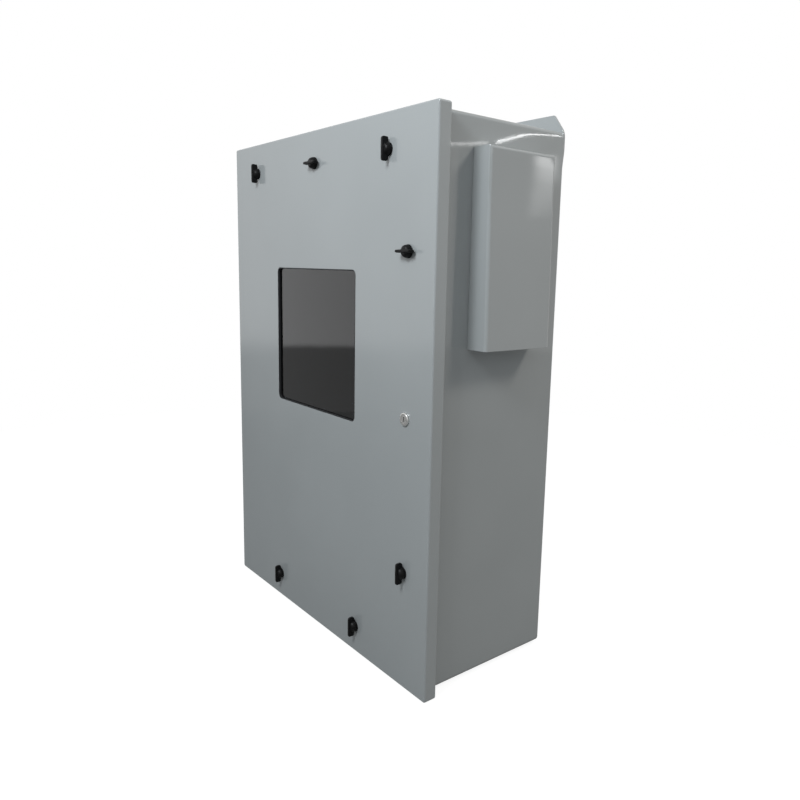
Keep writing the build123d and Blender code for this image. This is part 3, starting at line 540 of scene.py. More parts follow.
# %% Door, body and hood
BODY_LOW, BODY_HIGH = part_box("enclosure_body")
DOOR_LOW, DOOR_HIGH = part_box("door")
SHELL_WALL = 4 * MM
HALF_WALL = SHELL_WALL / 2
BODY_HALF_HEIGHT = -BODY_LOW.z


def inside_body(point):
    """Whether a face of the body looks into the case."""
    return (
        abs(point.x) < BODY_HIGH.x - HALF_WALL
        and abs(point.z) < BODY_HALF_HEIGHT - HALF_WALL
        and BODY_LOW.y + HALF_WALL < point.y < -HALF_WALL
    )


def inside_door(point):
    """Whether a face of the door looks into the case."""
    return (
        abs(point.x) < DOOR_HIGH.x - HALF_WALL
        and abs(point.z) < DOOR_HIGH.z - HALF_WALL
        and point.y > DOOR_LOW.y + HALF_WALL
    )


HOOD_LOW, HOOD_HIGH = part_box("vent_hood")
HOOD_MIDDLE = (HOOD_LOW + HOOD_HIGH) / 2
HOOD_FACE_DEPTH = 6.5 * MM
HALF_HOOD_WALL = 1.5 * MM


def inside_hood(point):
    """Whether a face of the hood looks into its hollow."""
    return (
        point.x < HOOD_HIGH.x - HOOD_FACE_DEPTH
        and abs(point.y - HOOD_MIDDLE.y) < (HOOD_HIGH.y - HOOD_LOW.y) / 2 - HALF_HOOD_WALL
        and point.z < HOOD_HIGH.z - HALF_HOOD_WALL
    )


BODY_HOLLOW = (Vector((0, -0.27, 0.53)), Vector((0, 0.21, 0.12)), 0.7 * MM)
HOOD_HOLLOW = (Vector((0, -0.152, 0.39)), Vector((0, 0.22, 0.085)), 1.1 * MM)
SHALLOW_WAVES, DEEP_WAVES = 0.15 * MM, 0.3 * MM
DOOR_WALLS = [(Y_AXIS, -1, DEEP_WAVES), (X_AXIS, 1, SHALLOW_WAVES)]
BODY_WALLS = [(X_AXIS, 1, SHALLOW_WAVES), (X_AXIS, -1, DEEP_WAVES)]
HOOD_WALLS = [(X_AXIS, 1, SHALLOW_WAVES), (Y_AXIS, -1, DEEP_WAVES)]
DOOR_SEED, BODY_SEED, HOOD_SEED = 3.1, 7.4, 5.2
moulded_shell("door", "door_moulding", DOOR_WALLS, None, DOOR_SEED, inside_door, RUBBED_GELCOAT)
moulded_shell("enclosure_body", "body_moulding", BODY_WALLS, BODY_HOLLOW, BODY_SEED, inside_body)
moulded_shell("vent_hood", "hood_moulding", HOOD_WALLS, HOOD_HOLLOW, HOOD_SEED, inside_hood)

# %% [markdown]
# ## Sheet metal, cams, bushes and hinges
# These are pressed, turned or moulded pieces whose CAD form is right. What they lack is the
# small radius that tumbling, plating or a worn mould leaves on an edge. A tenth or two of a
# millimetre is enough to draw a bright line along it.

# %% Softened copies
LATCHES = sorted(body[len("latch_") :] for body in BODIES if body.startswith("latch_"))
SOFTENED = {
    "mounting_plate": (0.3, ZINC),
    "window_frame": (0.25, STAINLESS),
    "window_seal": (0.3, RUBBER),
    "window_pane": (0.4, SMOKED),
    "vent_screen": (0.2, STAINLESS),
    "latch_bushes": (0.4, NYLON),
    "latch_seals": (0.3, RUBBER),
    "latch_nuts": (0.4, NYLON),
    "lock_housing": (0.3, CHROME),
    "lock_nut": (0.4, CHROME),
    "lock_plug": (0.2, CHROME),
    "lock_cam": (0.3, ZINC),
    "lock_cam_nut": (0.3, ZINC),
}
for latch in LATCHES:
    SOFTENED["latch_cam_" + latch] = (0.3, ZINC)
for level in ("upper", "middle", "lower"):
    SOFTENED["hinge_body_leaf_" + level] = (0.25, STAINLESS)
    SOFTENED["hinge_door_leaf_" + level] = (0.25, STAINLESS)
    SOFTENED["hinge_pin_" + level] = (0.3, STAINLESS)

for node, (radius, finish) in SOFTENED.items():
    surface = merged_copy(node)
    soften(surface, radius * MM)
    piece = piece_from(surface, node + "_finished", finish)
    smooth(piece)
    stand_for(piece, node)
print("softened pieces:", len(SOFTENED))

# %% [markdown]
# ## Screws, studs and nuts
# Fasteners repeat, so a Geometry Nodes tree makes one of each and sets it on points read
# from the frame. Each tree has named sizes, and a seed turns every screw to its own angle,
# as a fitter leaves them. A rolled thread is a ridge that climbs a spiral.

# %% Trees for fasteners
CORE_SHARE, RIDGE_SHARE = 0.86, 0.14
THREAD_START, THREAD_RISE = -0.97, 0.9
SLOT_SHARE = 0.28
RECESS_CUT = 1.1
NUT_FACE_SHARE, NUT_CONE_SHARE = 0.9, 1.08


def start_tree(name, sizes):
    """A tree that takes places and named sizes."""
    tree = bpy.data.node_groups.new(name, "GeometryNodeTree")
    face = tree.interface
    face.new_socket(name="Places", in_out="INPUT", socket_type="NodeSocketGeometry")
    for size in sizes:
        face.new_socket(name=size, in_out="INPUT", socket_type="NodeSocketFloat")
    face.new_socket(name="Spin", in_out="INPUT", socket_type="NodeSocketFloat")
    face.new_socket(name="Axis", in_out="INPUT", socket_type="NodeSocketVector")
    face.new_socket(name="Seed", in_out="INPUT", socket_type="NodeSocketInt")
    face.new_socket(name="Material", in_out="INPUT", socket_type="NodeSocketMaterial")
    face.new_socket(name="Made", in_out="OUTPUT", socket_type="NodeSocketGeometry")
    return tree, add_node(tree, "NodeGroupInput").outputs


def threaded_shank(tree, radius, length, pitch):
    """A shank that hangs down from the origin, with a rolled thread."""
    core_radius = add_node(tree, "ShaderNodeMath", {"operation": "MULTIPLY"}, {0: radius, 1: CORE_SHARE})
    half_down = add_node(tree, "ShaderNodeMath", {"operation": "MULTIPLY"}, {0: length, 1: -0.5})
    down = add_node(tree, "ShaderNodeMath", {"operation": "MULTIPLY"}, {0: length, 1: THREAD_START})
    turns = add_node(tree, "ShaderNodeMath", {"operation": "DIVIDE"}, {0: length, 1: pitch})
    ridge = add_node(tree, "ShaderNodeMath", {"operation": "MULTIPLY"}, {0: radius, 1: RIDGE_SHARE})
    rise = add_node(tree, "ShaderNodeMath", {"operation": "MULTIPLY"}, {0: length, 1: THREAD_RISE})
    core = add_node(
        tree, "GeometryNodeMeshCylinder", inputs={"Vertices": 24, "Radius": core_radius, "Depth": length}
    )
    middle = add_node(tree, "ShaderNodeCombineXYZ", inputs={"Z": half_down})
    core = add_node(
        tree, "GeometryNodeTransform", inputs={"Geometry": core.outputs["Mesh"], "Translation": middle}
    )
    spiral = add_node(
        tree,
        "GeometryNodeCurveSpiral",
        inputs={
            "Resolution": 16,
            "Rotations": turns,
            "Start Radius": core_radius,
            "End Radius": core_radius,
            "Height": rise,
        },
    )
    profile = add_node(tree, "GeometryNodeCurvePrimitiveCircle", inputs={"Resolution": 4, "Radius": ridge})
    thread = add_node(
        tree,
        "GeometryNodeCurveToMesh",
        inputs={"Curve": spiral, "Profile Curve": profile.outputs["Curve"], "Fill Caps": True},
    )
    start = add_node(tree, "ShaderNodeCombineXYZ", inputs={"Z": down})
    thread = add_node(
        tree, "GeometryNodeTransform", inputs={"Geometry": thread, "Translation": start}
    )
    return [core, thread]


def set_on_places(tree, made, sockets):
    """Set what was made on the places, each turned about the axis by its own angle."""
    spin = add_node(
        tree,
        "FunctionNodeRandomValue",
        {"data_type": "FLOAT"},
        {"Min": 0.0, "Max": sockets["Spin"], "Seed": sockets["Seed"]},
    )
    upright = add_node(tree, "FunctionNodeAlignRotationToVector", {"axis": "Z"}, {"Vector": sockets["Axis"]})
    about = add_node(
        tree,
        "FunctionNodeAxisAngleToRotation",
        inputs={"Axis": (0, 0, 1), "Angle": pin(spin.outputs, "Value")},
    )
    turned = add_node(
        tree,
        "FunctionNodeRotateRotation",
        {"rotation_space": "LOCAL"},
        {"Rotation": upright, "Rotate By": about},
    )
    placed = add_node(
        tree,
        "GeometryNodeInstanceOnPoints",
        inputs={"Points": sockets["Places"], "Instance": made, "Rotation": turned},
    )
    real = add_node(tree, "GeometryNodeRealizeInstances", inputs={"Geometry": placed})
    coated = add_node(
        tree, "GeometryNodeSetMaterial", inputs={"Geometry": real, "Material": sockets["Material"]}
    )
    add_node(tree, "NodeGroupOutput", inputs={"Made": coated})
    return tree


HEAD_SIZES = ["Rim radius", "Face radius", "Head height", "Head base", "Shank radius", "Recess"]


def screw_tree():
    """A screw with a round head, a cross recess and a thread, its head along the axis."""
    tree, size = start_tree("cross_recess_screws", [*HEAD_SIZES, "Length", "Pitch"])
    head = add_node(
        tree,
        "GeometryNodeMeshCone",
        inputs={
            "Vertices": 40,
            "Radius Top": size["Face radius"],
            "Radius Bottom": size["Rim radius"],
            "Depth": size["Head height"],
        },
    )
    base = add_node(tree, "ShaderNodeCombineXYZ", inputs={"Z": size["Head base"]})
    head = add_node(
        tree, "GeometryNodeTransform", inputs={"Geometry": head.outputs["Mesh"], "Translation": base}
    )
    face_level = add_node(
        tree, "ShaderNodeMath", {"operation": "ADD"}, {0: size["Head base"], 1: size["Head height"]}
    )
    slot_width = add_node(
        tree, "ShaderNodeMath", {"operation": "MULTIPLY"}, {0: size["Recess"], 1: SLOT_SHARE}
    )
    deep = add_node(
        tree, "ShaderNodeMath", {"operation": "MULTIPLY"}, {0: size["Head height"], 1: RECESS_CUT}
    )
    face = add_node(tree, "ShaderNodeCombineXYZ", inputs={"Z": face_level})
    arms = []
    for sides in ({"X": size["Recess"], "Y": slot_width}, {"X": slot_width, "Y": size["Recess"]}):
        span = add_node(tree, "ShaderNodeCombineXYZ", inputs={**sides, "Z": deep})
        arm = add_node(tree, "GeometryNodeMeshCube", inputs={"Size": span})
        lifted = add_node(
            tree, "GeometryNodeTransform", inputs={"Geometry": arm.outputs["Mesh"], "Translation": face}
        )
        arms.append(lifted)
    head = add_node(
        tree,
        "GeometryNodeMeshBoolean",
        {"operation": "DIFFERENCE", "solver": "EXACT"},
        {"Mesh 1": head, "Mesh 2": arms},
    )
    shank = threaded_shank(tree, size["Shank radius"], size["Length"], size["Pitch"])
    screw = add_node(tree, "GeometryNodeJoinGeometry", inputs={"Geometry": [head.outputs["Mesh"], *shank]})
    return set_on_places(tree, screw, size)


def stud_tree():
    """A threaded stud that hangs down from its end."""
    tree, size = start_tree("threaded_studs", ["Radius", "Length", "Pitch"])
    shank = threaded_shank(tree, size["Radius"], size["Length"], size["Pitch"])
    stud = add_node(tree, "GeometryNodeJoinGeometry", inputs={"Geometry": shank})
    return set_on_places(tree, stud, size)


def nut_tree():
    """A hexagon nut with turned-off corners, standing on its places."""
    tree, size = start_tree("hexagon_nuts", ["Flats", "Thickness", "Bore radius"])
    corner = add_node(tree, "ShaderNodeMath", {"operation": "DIVIDE"}, {0: size["Flats"], 1: math.sqrt(3)})
    half_up = add_node(tree, "ShaderNodeMath", {"operation": "MULTIPLY"}, {0: size["Thickness"], 1: 0.5})
    lift = add_node(tree, "ShaderNodeCombineXYZ", inputs={"Z": half_up})
    prism = add_node(
        tree,
        "GeometryNodeMeshCylinder",
        inputs={"Vertices": 6, "Radius": corner, "Depth": size["Thickness"]},
    )
    inner_face = add_node(tree, "ShaderNodeMath", {"operation": "MULTIPLY"}, {0: corner, 1: NUT_FACE_SHARE})
    spread = add_node(tree, "ShaderNodeMath", {"operation": "MULTIPLY"}, {0: corner, 1: NUT_CONE_SHARE})
    cones = []
    for turn in (0, math.pi):
        cone = add_node(
            tree,
            "GeometryNodeMeshCone",
            inputs={"Vertices": 48, "Radius Top": inner_face, "Radius Bottom": spread, "Depth": half_up},
        )
        turned = add_node(
            tree,
            "GeometryNodeTransform",
            inputs={"Geometry": cone.outputs["Mesh"], "Rotation": (turn, 0, 0)},
        )
        cones.append(turned)
    lens = add_node(
        tree, "GeometryNodeMeshBoolean", {"operation": "UNION", "solver": "EXACT"}, {1: cones}
    )
    blank = add_node(
        tree,
        "GeometryNodeMeshBoolean",
        {"operation": "INTERSECT", "solver": "EXACT"},
        {1: [prism.outputs["Mesh"], lens.outputs["Mesh"]]},
    )
    drill = add_node(
        tree,
        "GeometryNodeMeshCylinder",
        inputs={"Vertices": 32, "Radius": size["Bore radius"], "Depth": size["Flats"]},
    )
    nut = add_node(
        tree,
        "GeometryNodeMeshBoolean",
        {"operation": "DIFFERENCE", "solver": "EXACT"},
        {"Mesh 1": blank.outputs["Mesh"], "Mesh 2": drill.outputs["Mesh"]},
    )
    nut = add_node(
        tree, "GeometryNodeTransform", inputs={"Geometry": nut.outputs["Mesh"], "Translation": lift}
    )
    return set_on_places(tree, nut, size)


def run_tree(tree, name, places, sizes, axis, finish, seed=0, spin=2 * math.pi):
    """Run a tree on places, with its sizes in millimetres, and keep the plain mesh."""
    mesh = bpy.data.meshes.new(name)
    mesh.from_pydata(places, [], [])
    piece = add_piece(name, mesh)
    maker = piece.modifiers.new("maker", "NODES")
    maker.node_group = tree
    values = {size: value * MM for size, value in sizes.items()}
    values |= {"Axis": axis, "Seed": seed, "Spin": spin, "Material": finish}
    for socket in tree.interface.items_tree:
        if socket.in_out == "INPUT" and socket.name in values:
            maker[socket.identifier] = values[socket.name]
    bake(piece)
    smooth(piece)
    return piece


SCREWS = screw_tree()
STUDS = stud_tree()
NUTS = nut_tree()


# %% Fasteners on their places
def ends(node, axis, side):
    """The middle of each solid's end face on one side of an axis."""
    places = []
    for low, high in solids_of(node):
        place = (low + high) / 2
        place[axis] = high[axis] if side > 0 else low[axis]
        places.append(place)
    return places


def shifted(places, axis, distance):
    """The same places, moved along an axis by some millimetres."""
    moved = []
    for place in places:
        other = place.copy()
        other[axis] += distance * MM
        moved.append(other)
    return moved


PAN = dict(zip(HEAD_SIZES, (3.8, 2.9, 2.2, 0, 2, 4.2)))
FLAT = dict(zip(HEAD_SIZES, (2.4, 4.4, 2, -2, 2.4, 4.6)))
CAM = dict(zip(HEAD_SIZES, (5.5, 4.4, 3.5, 0, 2.5, 5.6)))
HOOD_SCREW = {**PAN, "Length": 8, "Pitch": 1.4}
SCREEN_SCREW = {**PAN, "Length": 5.5, "Pitch": 1.4}
DOOR_LEAF_SCREW = {**FLAT, "Length": 6, "Pitch": 0.8}
BODY_LEAF_SCREW = {**FLAT, "Length": 11.5, "Pitch": 0.8}
CAM_SCREW = {**CAM, "Length": 11, "Pitch": 0.8}
LEAF_NUT = {"Flats": 8, "Thickness": 4, "Bore radius": 2.4}
OUT_LEFT = (-1, 0, 0)
OUT_RIGHT = (1, 0, 0)
INTO_WALL = (0, 1, 0)
OUT_FRONT = (0, -1, 0)

# Each row: the tree, the node, the axis and side of its end faces, how far the seat lies
# behind them, the sizes in millimetres, the direction and the finish.
fastener_rows = [
    (SCREWS, "vent_hood_screws", X_AXIS, -1, PAN["Head height"], HOOD_SCREW, OUT_LEFT, STAINLESS),
    (SCREWS, "vent_screen_screws", X_AXIS, -1, PAN["Head height"], SCREEN_SCREW, OUT_LEFT, STAINLESS),
    (SCREWS, "hinge_door_screws", X_AXIS, -1, 0, DOOR_LEAF_SCREW, OUT_LEFT, STAINLESS),
    (SCREWS, "hinge_body_screws", X_AXIS, -1, 0, BODY_LEAF_SCREW, OUT_LEFT, STAINLESS),
    (STUDS, "plate_studs", Y_AXIS, -1, 0, {"Radius": 4, "Length": 31.5, "Pitch": 1.25}, OUT_FRONT, ZINC),
    (STUDS, "window_studs", Y_AXIS, 1, 0, {"Radius": 2, "Length": 8.2, "Pitch": 0.7}, INTO_WALL, ZINC),
    (NUTS, "plate_nuts", Y_AXIS, 1, 0, {"Flats": 13, "Thickness": 6.5, "Bore radius": 4}, OUT_FRONT, ZINC),
    (NUTS, "window_nuts", Y_AXIS, -1, 0, {"Flats": 7, "Thickness": 3.2, "Bore radius": 2}, INTO_WALL, ZINC),
    (NUTS, "hinge_body_nuts", X_AXIS, -1, 0, LEAF_NUT, OUT_RIGHT, ZINC),
]
for row, (tree, node, axis, side, seat, sizes, direction, finish) in enumerate(fastener_rows):
    places = shifted(ends(node, axis, side), axis, -side * seat)
    piece = run_tree(tree, node + "_made", places, sizes, direction, finish, seed=row)
    stand_for(piece, node)
    print(piece.name, "on", len(places), "places, faces:", len(piece.data.polygons))

FIRST_CAM_SEED = 20
for row, latch in enumerate(LATCHES):
    node = "latch_cam_screw_" + latch
    places = shifted(ends(node, Y_AXIS, 1), Y_AXIS, -CAM_SCREW["Head height"])
    piece = run_tree(SCREWS, node + "_made", places, CAM_SCREW, INTO_WALL, ZINC, seed=FIRST_CAM_SEED + row)
    stand_for(piece, node)
print("cam screws:", len(LATCHES))

# %% Plain washers
surface = merged_copy("plate_washers")
soften(surface, 0.2 * MM)
washers = piece_from(surface, "plate_washers_finished", ZINC)
smooth(washers)
stand_for(washers, "plate_washers")

# %% [markdown]
# ## The door's gasket
# The gasket is poured as a liquid foam between the door's two ribs. It sets as one soft bead
# with a crowned top and no visible joint. A bead of one section along a path is a job for a
# profile on a curve, so a tree fillets a rectangle and sweeps the bead round it.


# %% Gasket bead
def gasket_tree():
    """A crowned bead that runs round a rectangle with rounded corners, in the door's plane."""
    sizes = ["Width", "Height", "Corner", "Bead width", "Bead height"]
    tree, size = start_tree("poured_gasket", sizes)
    loop = add_node(
        tree,
        "GeometryNodeCurvePrimitiveQuadrilateral",
        inputs={"Width": size["Width"], "Height": size["Height"]},
    )
    loop = add_node(
        tree,
        "GeometryNodeFilletCurve",
        {"mode": "POLY"},
        {"Curve": loop, "Count": 10, "Radius": size["Corner"]},
    )
    round_bead = add_node(tree, "GeometryNodeCurvePrimitiveCircle", inputs={"Resolution": 20, "Radius": 0.5})
    bead_size = add_node(
        tree, "ShaderNodeCombineXYZ", inputs={"X": size["Bead width"], "Y": size["Bead height"], "Z": 1.0}
    )
    bead = add_node(
        tree, "GeometryNodeTransform", inputs={"Geometry": round_bead.outputs["Curve"], "Scale": bead_size}
    )
    ring = add_node(tree, "GeometryNodeCurveToMesh", inputs={"Curve": loop, "Profile Curve": bead})
    stood = add_node(
        tree, "GeometryNodeTransform", inputs={"Geometry": ring, "Rotation": (math.pi / 2, 0, 0)}
    )
    return set_on_places(tree, stood, size)


GASKET_LOW, GASKET_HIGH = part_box("door_gasket")
BEAD_WIDTH = 10
BEAD_HEIGHT = (GASKET_HIGH.y - GASKET_LOW.y) / MM
gasket_size = (GASKET_HIGH - GASKET_LOW) / MM
gasket = run_tree(
    gasket_tree(),
    "door_gasket_bead",
    [(GASKET_LOW + GASKET_HIGH) / 2],
    {
        "Width": gasket_size.x - BEAD_WIDTH,
        "Height": gasket_size.z - BEAD_WIDTH,
        "Corner": 12,
        "Bead width": BEAD_WIDTH,
        "Bead height": BEAD_HEIGHT,
    },
    (0, 0, 1),
    RUBBER,
    spin=0,
)
stand_for(gasket, "door_gasket")
print("gasket bead:", round(BEAD_WIDTH, 1), "by", round(BEAD_HEIGHT, 1), "mm")

# %% [markdown]
# ## Wing knobs
# Each latch is turned by a wing knob, moulded in one piece with its hub. The mould gives it
# no sharp corner anywhere: the wing flows into the hub with a fillet, its ends are rounded
# and its faces lean in by about a degree so that it leaves the mould. Joining plain solids
# leaves a hard seam where they meet. A voxel remesh melts the seam, and smoothing rounds it.

# %% Knob form
# Radius and level in millimetres, from the door's front outwards.
HUB_PROFILE = [
    (0, 2.8), (11.2, 2.8), (11.5, 3.1), (11.5, 4.4), (11.2, 6.4),
    (10.3, 9), (9, 11), (7.2, 12.3), (5.5, 12.8), (0, 12.8),
]
WING_HALF_LENGTH = 20.5
WING_BASE, WING_TOP = 2.8, 16.3
WING_HALF_THICKNESS = 3
WING_TAPER = 0.2
WING_ROUNDING = 3.5
WING_SECTIONS = 24
WING_LEAN = 0.93
WING_CROWN = 0.9
WING_FLAT_SHARE = 0.6
KNOB_VOXEL = 0.4


def wing_section(share):
    """Half thickness, lowest and highest level of the wing at a share of its half length."""
    half = WING_HALF_THICKNESS * (1 - WING_TAPER * share**2)
    end_share = WING_ROUNDING / WING_HALF_LENGTH
    into_end = max(share - 1 + end_share, 0) / end_share
    rounding = WING_ROUNDING * (1 - math.sqrt(max(1 - into_end**2, 0)))
    return half, WING_BASE + rounding, WING_TOP - rounding


def wing_surface():
    """The wing as a skin over sections along its length."""
    surface = bmesh.new()
    rings = []
    for step in range(WING_SECTIONS + 1):
        along = math.sin((step / WING_SECTIONS - 0.5) * math.pi)
        half, low, high = wing_section(min(abs(along), 0.999))
        leaned = half * WING_LEAN
        crowned = leaned * WING_FLAT_SHARE
        section = [
            (-half, low),
            (half, low),
            (leaned, high - WING_CROWN),
            (crowned, high),
            (-crowned, high),
            (-leaned, high - WING_CROWN),
        ]
        ring = [Vector((along * WING_HALF_LENGTH, across, level)) for across, level in section]
        rings.append([surface.verts.new(corner * MM) for corner in ring])
    for before, after in zip(rings, rings[1:]):
        for k in range(6):
            surface.faces.new((before[k], before[(k + 1) % 6], after[(k + 1) % 6], after[k]))
    surface.faces.new(list(reversed(rings[0])))
    surface.faces.new(rings[-1])
    bmesh.ops.recalc_face_normals(surface, faces=surface.faces)
    return surface


def turned_surface(profile, steps=48):
    """A solid of revolution about Z from radius and level pairs in millimetres."""
    surface = bmesh.new()
    verts = [surface.verts.new((radius * MM, 0, level * MM)) for radius, level in profile]
    edges = [surface.edges.new(pair) for pair in zip(verts, verts[1:])]
    bmesh.ops.spin(
        surface,
        geom=verts + edges,
        cent=(0, 0, 0),
        axis=(0, 0, 1),
        angle=2 * math.pi,
        steps=steps,
        use_merge=True,
    )
    bmesh.ops.remove_doubles(surface, verts=surface.verts, dist=0.001 * MM)
    bmesh.ops.recalc_face_normals(surface, faces=surface.faces)
    return surface


def melted_knob():
    """Hub and wing as one moulded form, drawn at the origin with the door's front at Z = 0."""
    form = bpy.data.meshes.new("knob_form")
    surface = turned_surface(HUB_PROFILE)
    wing = bpy.data.meshes.new("wing_form")
    skin = wing_surface()
    skin.to_mesh(wing)
    skin.free()
    surface.from_mesh(wing)
    surface.to_mesh(form)
    surface.free()
    piece = add_piece("knob_form", form)
    melt = piece.modifiers.new("melt", "REMESH")
    melt.mode = "VOXEL"
    melt.voxel_size = KNOB_VOXEL * MM
    relax = piece.modifiers.new("relax", "SMOOTH")
    relax.factor = 0.6
    relax.iterations = 6
    thin = piece.modifiers.new("thin", "DECIMATE")
    thin.ratio = 0.22
    bake(piece)
    return piece


knob_form = melted_knob()
print("knob faces:", len(knob_form.data.polygons))


# %% Knobs in their places
SPINDLE_END, SPINDLE_TOP = -17.2, 4
SPINDLE_RADIUS = 6
TAIL_WIDTH = 8


def spindle_surface(low_level):
    """The spindle and the square tail, which the bush and the cam hide."""
    corners = ((0, SPINDLE_END), (SPINDLE_RADIUS, SPINDLE_END), (SPINDLE_RADIUS, SPINDLE_TOP))
    surface = turned_surface([*corners, (0, SPINDLE_TOP)], steps=32)
    tail = bmesh.ops.create_cube(surface, size=1)["verts"]
    tail_size = (TAIL_WIDTH * MM, TAIL_WIDTH * MM, (SPINDLE_END - low_level) * MM)
    bmesh.ops.scale(surface, verts=tail, vec=tail_size)
    bmesh.ops.translate(surface, verts=tail, vec=(0, 0, (low_level + SPINDLE_END) / 2 * MM))
    return surface


DOOR_FRONT = DOOR_LOW.y
TURN_TO_DOOR = Matrix(((1, 0, 0, 0), (0, 0, -1, 0), (0, 1, 0, 0), (0, 0, 0, 1)))
for latch in LATCHES:
    node = "latch_knob_" + latch
    low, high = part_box(node)
    middle = (low + high) / 2
    level_wing = high.x - low.x > high.z - low.z
    spin = Matrix.Rotation(0 if level_wing else math.pi / 2, 4, "Z")
    place = Matrix.Translation((middle.x, DOOR_FRONT, middle.z)) @ TURN_TO_DOOR @ spin
    surface = spindle_surface((DOOR_FRONT - high.y) / MM)
    surface.from_mesh(knob_form.data)
    surface.transform(place)
    piece = piece_from(surface, node + "_moulded", NYLON)
    smooth(piece, angle=50)
    stand_for(piece, node)
bpy.data.objects.remove(knob_form)
print("knobs:", len(LATCHES))

# %% [markdown]
# ## Camera
# The photograph was taken from the right and a little above the middle, close to the object,
# so its vertical edges stay nearly parallel while its level ones run together. The camera's
# place and angles were worked out from the straight edges of the door and the body.

# %% Camera
IMAGE_SIZE = 800
AZIMUTH, ELEVATION, ROLL = math.radians(50.301), math.radians(9.298), math.radians(1.401)
CAMERA_PLACE = Vector((1.2659, -1.0822, 0.2582))
FOCAL_PIXELS = 701.2
CENTRE_PIXEL = (427.2, 383.1)

forward = Vector(
    (
        -math.sin(AZIMUTH) * math.cos(ELEVATION),
        math.cos(AZIMUTH) * math.cos(ELEVATION),
        -math.sin(ELEVATION),
    )
)
level_right = Vector((math.cos(AZIMUTH), math.sin(AZIMUTH), 0))
level_up = level_right.cross(forward)
right = math.cos(ROLL) * level_right + math.sin(ROLL) * level_up
up = -math.sin(ROLL) * level_right + math.cos(ROLL) * level_up

lens = bpy.data.cameras.new("view")
lens.sensor_width = 36
lens.lens = FOCAL_PIXELS / IMAGE_SIZE * lens.sensor_width
lens.shift_x = (IMAGE_SIZE / 2 - CENTRE_PIXEL[0]) / IMAGE_SIZE
lens.shift_y = (CENTRE_PIXEL[1] - IMAGE_SIZE / 2) / IMAGE_SIZE
camera = add_piece("view", lens)
turn = Matrix((right, up, -forward)).transposed().to_4x4()
camera.matrix_world = Matrix.Translation(CAMERA_PLACE) @ turn
bpy.context.scene.camera = camera
print("lens:", round(lens.lens, 2), "mm, shift:", round(lens.shift_x, 4), round(lens.shift_y, 4))

# %% [markdown]
# ## Floor, surroundings and lamps
# A glossy grey box shows its room more than its own colour. A key lamp stands high at the
# front, a little to the right, and a warmer side lamp stands behind on the right and throws the
# hood's shadow forward along the case. Two thin tubes far behind on the right draw the bright
# line that bends with the side wall, and a soft upright glow beside them gives the hood its
# streak. Mirrored rays see a pale wall that ends at its foot, a little below the horizon, and a
# darker floor under it, so the door and the window show a level edge. Rays from the camera see
# the wall and the floor as white, and the floor keeps the object's shadow.

# %% Floor
FLOOR_RADIUS = 2.4
FLOOR_GAP = 0.5 * MM
FLOOR_GLOW = 0.9
MIRRORED_GLOW = 0.15


def looking_rays(tree):
    """1 for rays from the camera, off a glossy face or through glass, and 0 for lighting rays."""
    rays = add_node(tree, "ShaderNodeLightPath").outputs
    found = rays["Is Camera Ray"]
    for kind in ("Is Glossy Ray", "Is Transmission Ray"):
        either = add_node(tree, "ShaderNodeMath", {"operation": "MAXIMUM"}, {0: found, 1: rays[kind]})
        found = either.outputs["Value"]
    return found


def brightness(tree, in_mirrors, to_camera):
    """One strength for rays off a glossy face or through glass, and another for the camera's own."""
    from_camera = add_node(tree, "ShaderNodeLightPath").outputs["Is Camera Ray"]
    mixed = add_node(
        tree,
        "ShaderNodeMix",
        {"data_type": "FLOAT"},
        {"Factor": from_camera, "A": in_mirrors, "B": to_camera},
    )
    return pin(mixed.outputs, "Result")


def pale_floor():
    """Pale matt floor: near white to the eye, darker in mirrors, with the object's shadow kept."""
    material, tree, shader, _ = start_material("pale_floor", "#828281", 0.9)
    shader.inputs["Specular IOR Level"].default_value = 0.1
    strength = brightness(tree, MIRRORED_GLOW, FLOOR_GLOW)
    glow = add_node(tree, "ShaderNodeEmission", inputs={"Strength": strength})
    lifted = add_node(tree, "ShaderNodeAddShader", inputs={0: shader.outputs[0], 1: glow.outputs[0]})
    shown = add_node(
        tree,
        "ShaderNodeMixShader",
        inputs={0: looking_rays(tree), 1: shader.outputs[0], 2: lifted.outputs[0]},
    )
    tree.links.new(shown.outputs[0], tree.nodes["Material Output"].inputs["Surface"])
    return material


surface = bmesh.new()
bmesh.ops.create_circle(surface, cap_ends=True, segments=96, radius=FLOOR_RADIUS)
bmesh.ops.translate(surface, verts=surface.verts, vec=(0, BODY_LOW.y / 2, DOOR_LOW.z - FLOOR_GAP))
floor = piece_from(surface, "floor", pale_floor())

# %% Surroundings
AMBIENT_BELOW, AMBIENT_ABOVE = 0.29, 0.39
MIRRORED_FLOOR, MIRRORED_SIDE, MIRRORED_FRONT = 0.34, 0.7, 1.05
WALL_FOOT = {"From Min": math.radians(-6.7), "From Max": math.radians(-6.1)}
TOWARDS_FRONT = (-0.7, -0.7, 0)
FRONT_REACH = {"From Min": 0.6, "From Max": 0.92}
DOORWAY = 4.5
DOORWAY_AZIMUTHS = (47.3, 48.0, 48.7, 49.4)
DOORWAY_ELEVATIONS = (6.0, 8.4, 8.6, 8.9)
BACKDROP_GLOW = 1.0
SOFT_STEP = {"interpolation_type": "SMOOTHSTEP"}


def band(tree, angle, limits):
    """0 up to the first of four angles in degrees, 1 between the middle two and 0 past the last."""
    start, full, fading, end = [math.radians(limit) for limit in limits]
    sides = [
        add_node(
            tree,
            "ShaderNodeMapRange",
            SOFT_STEP,
            {"Value": angle, "From Min": near, "From Max": far, "To Min": first, "To Max": last},
        )
        for near, far, first, last in ((start, full, 0, 1), (fading, end, 1, 0))
    ]
    return add_node(tree, "ShaderNodeMath", {"operation": "MULTIPLY"}, {0: sides[0], 1: sides[1]})


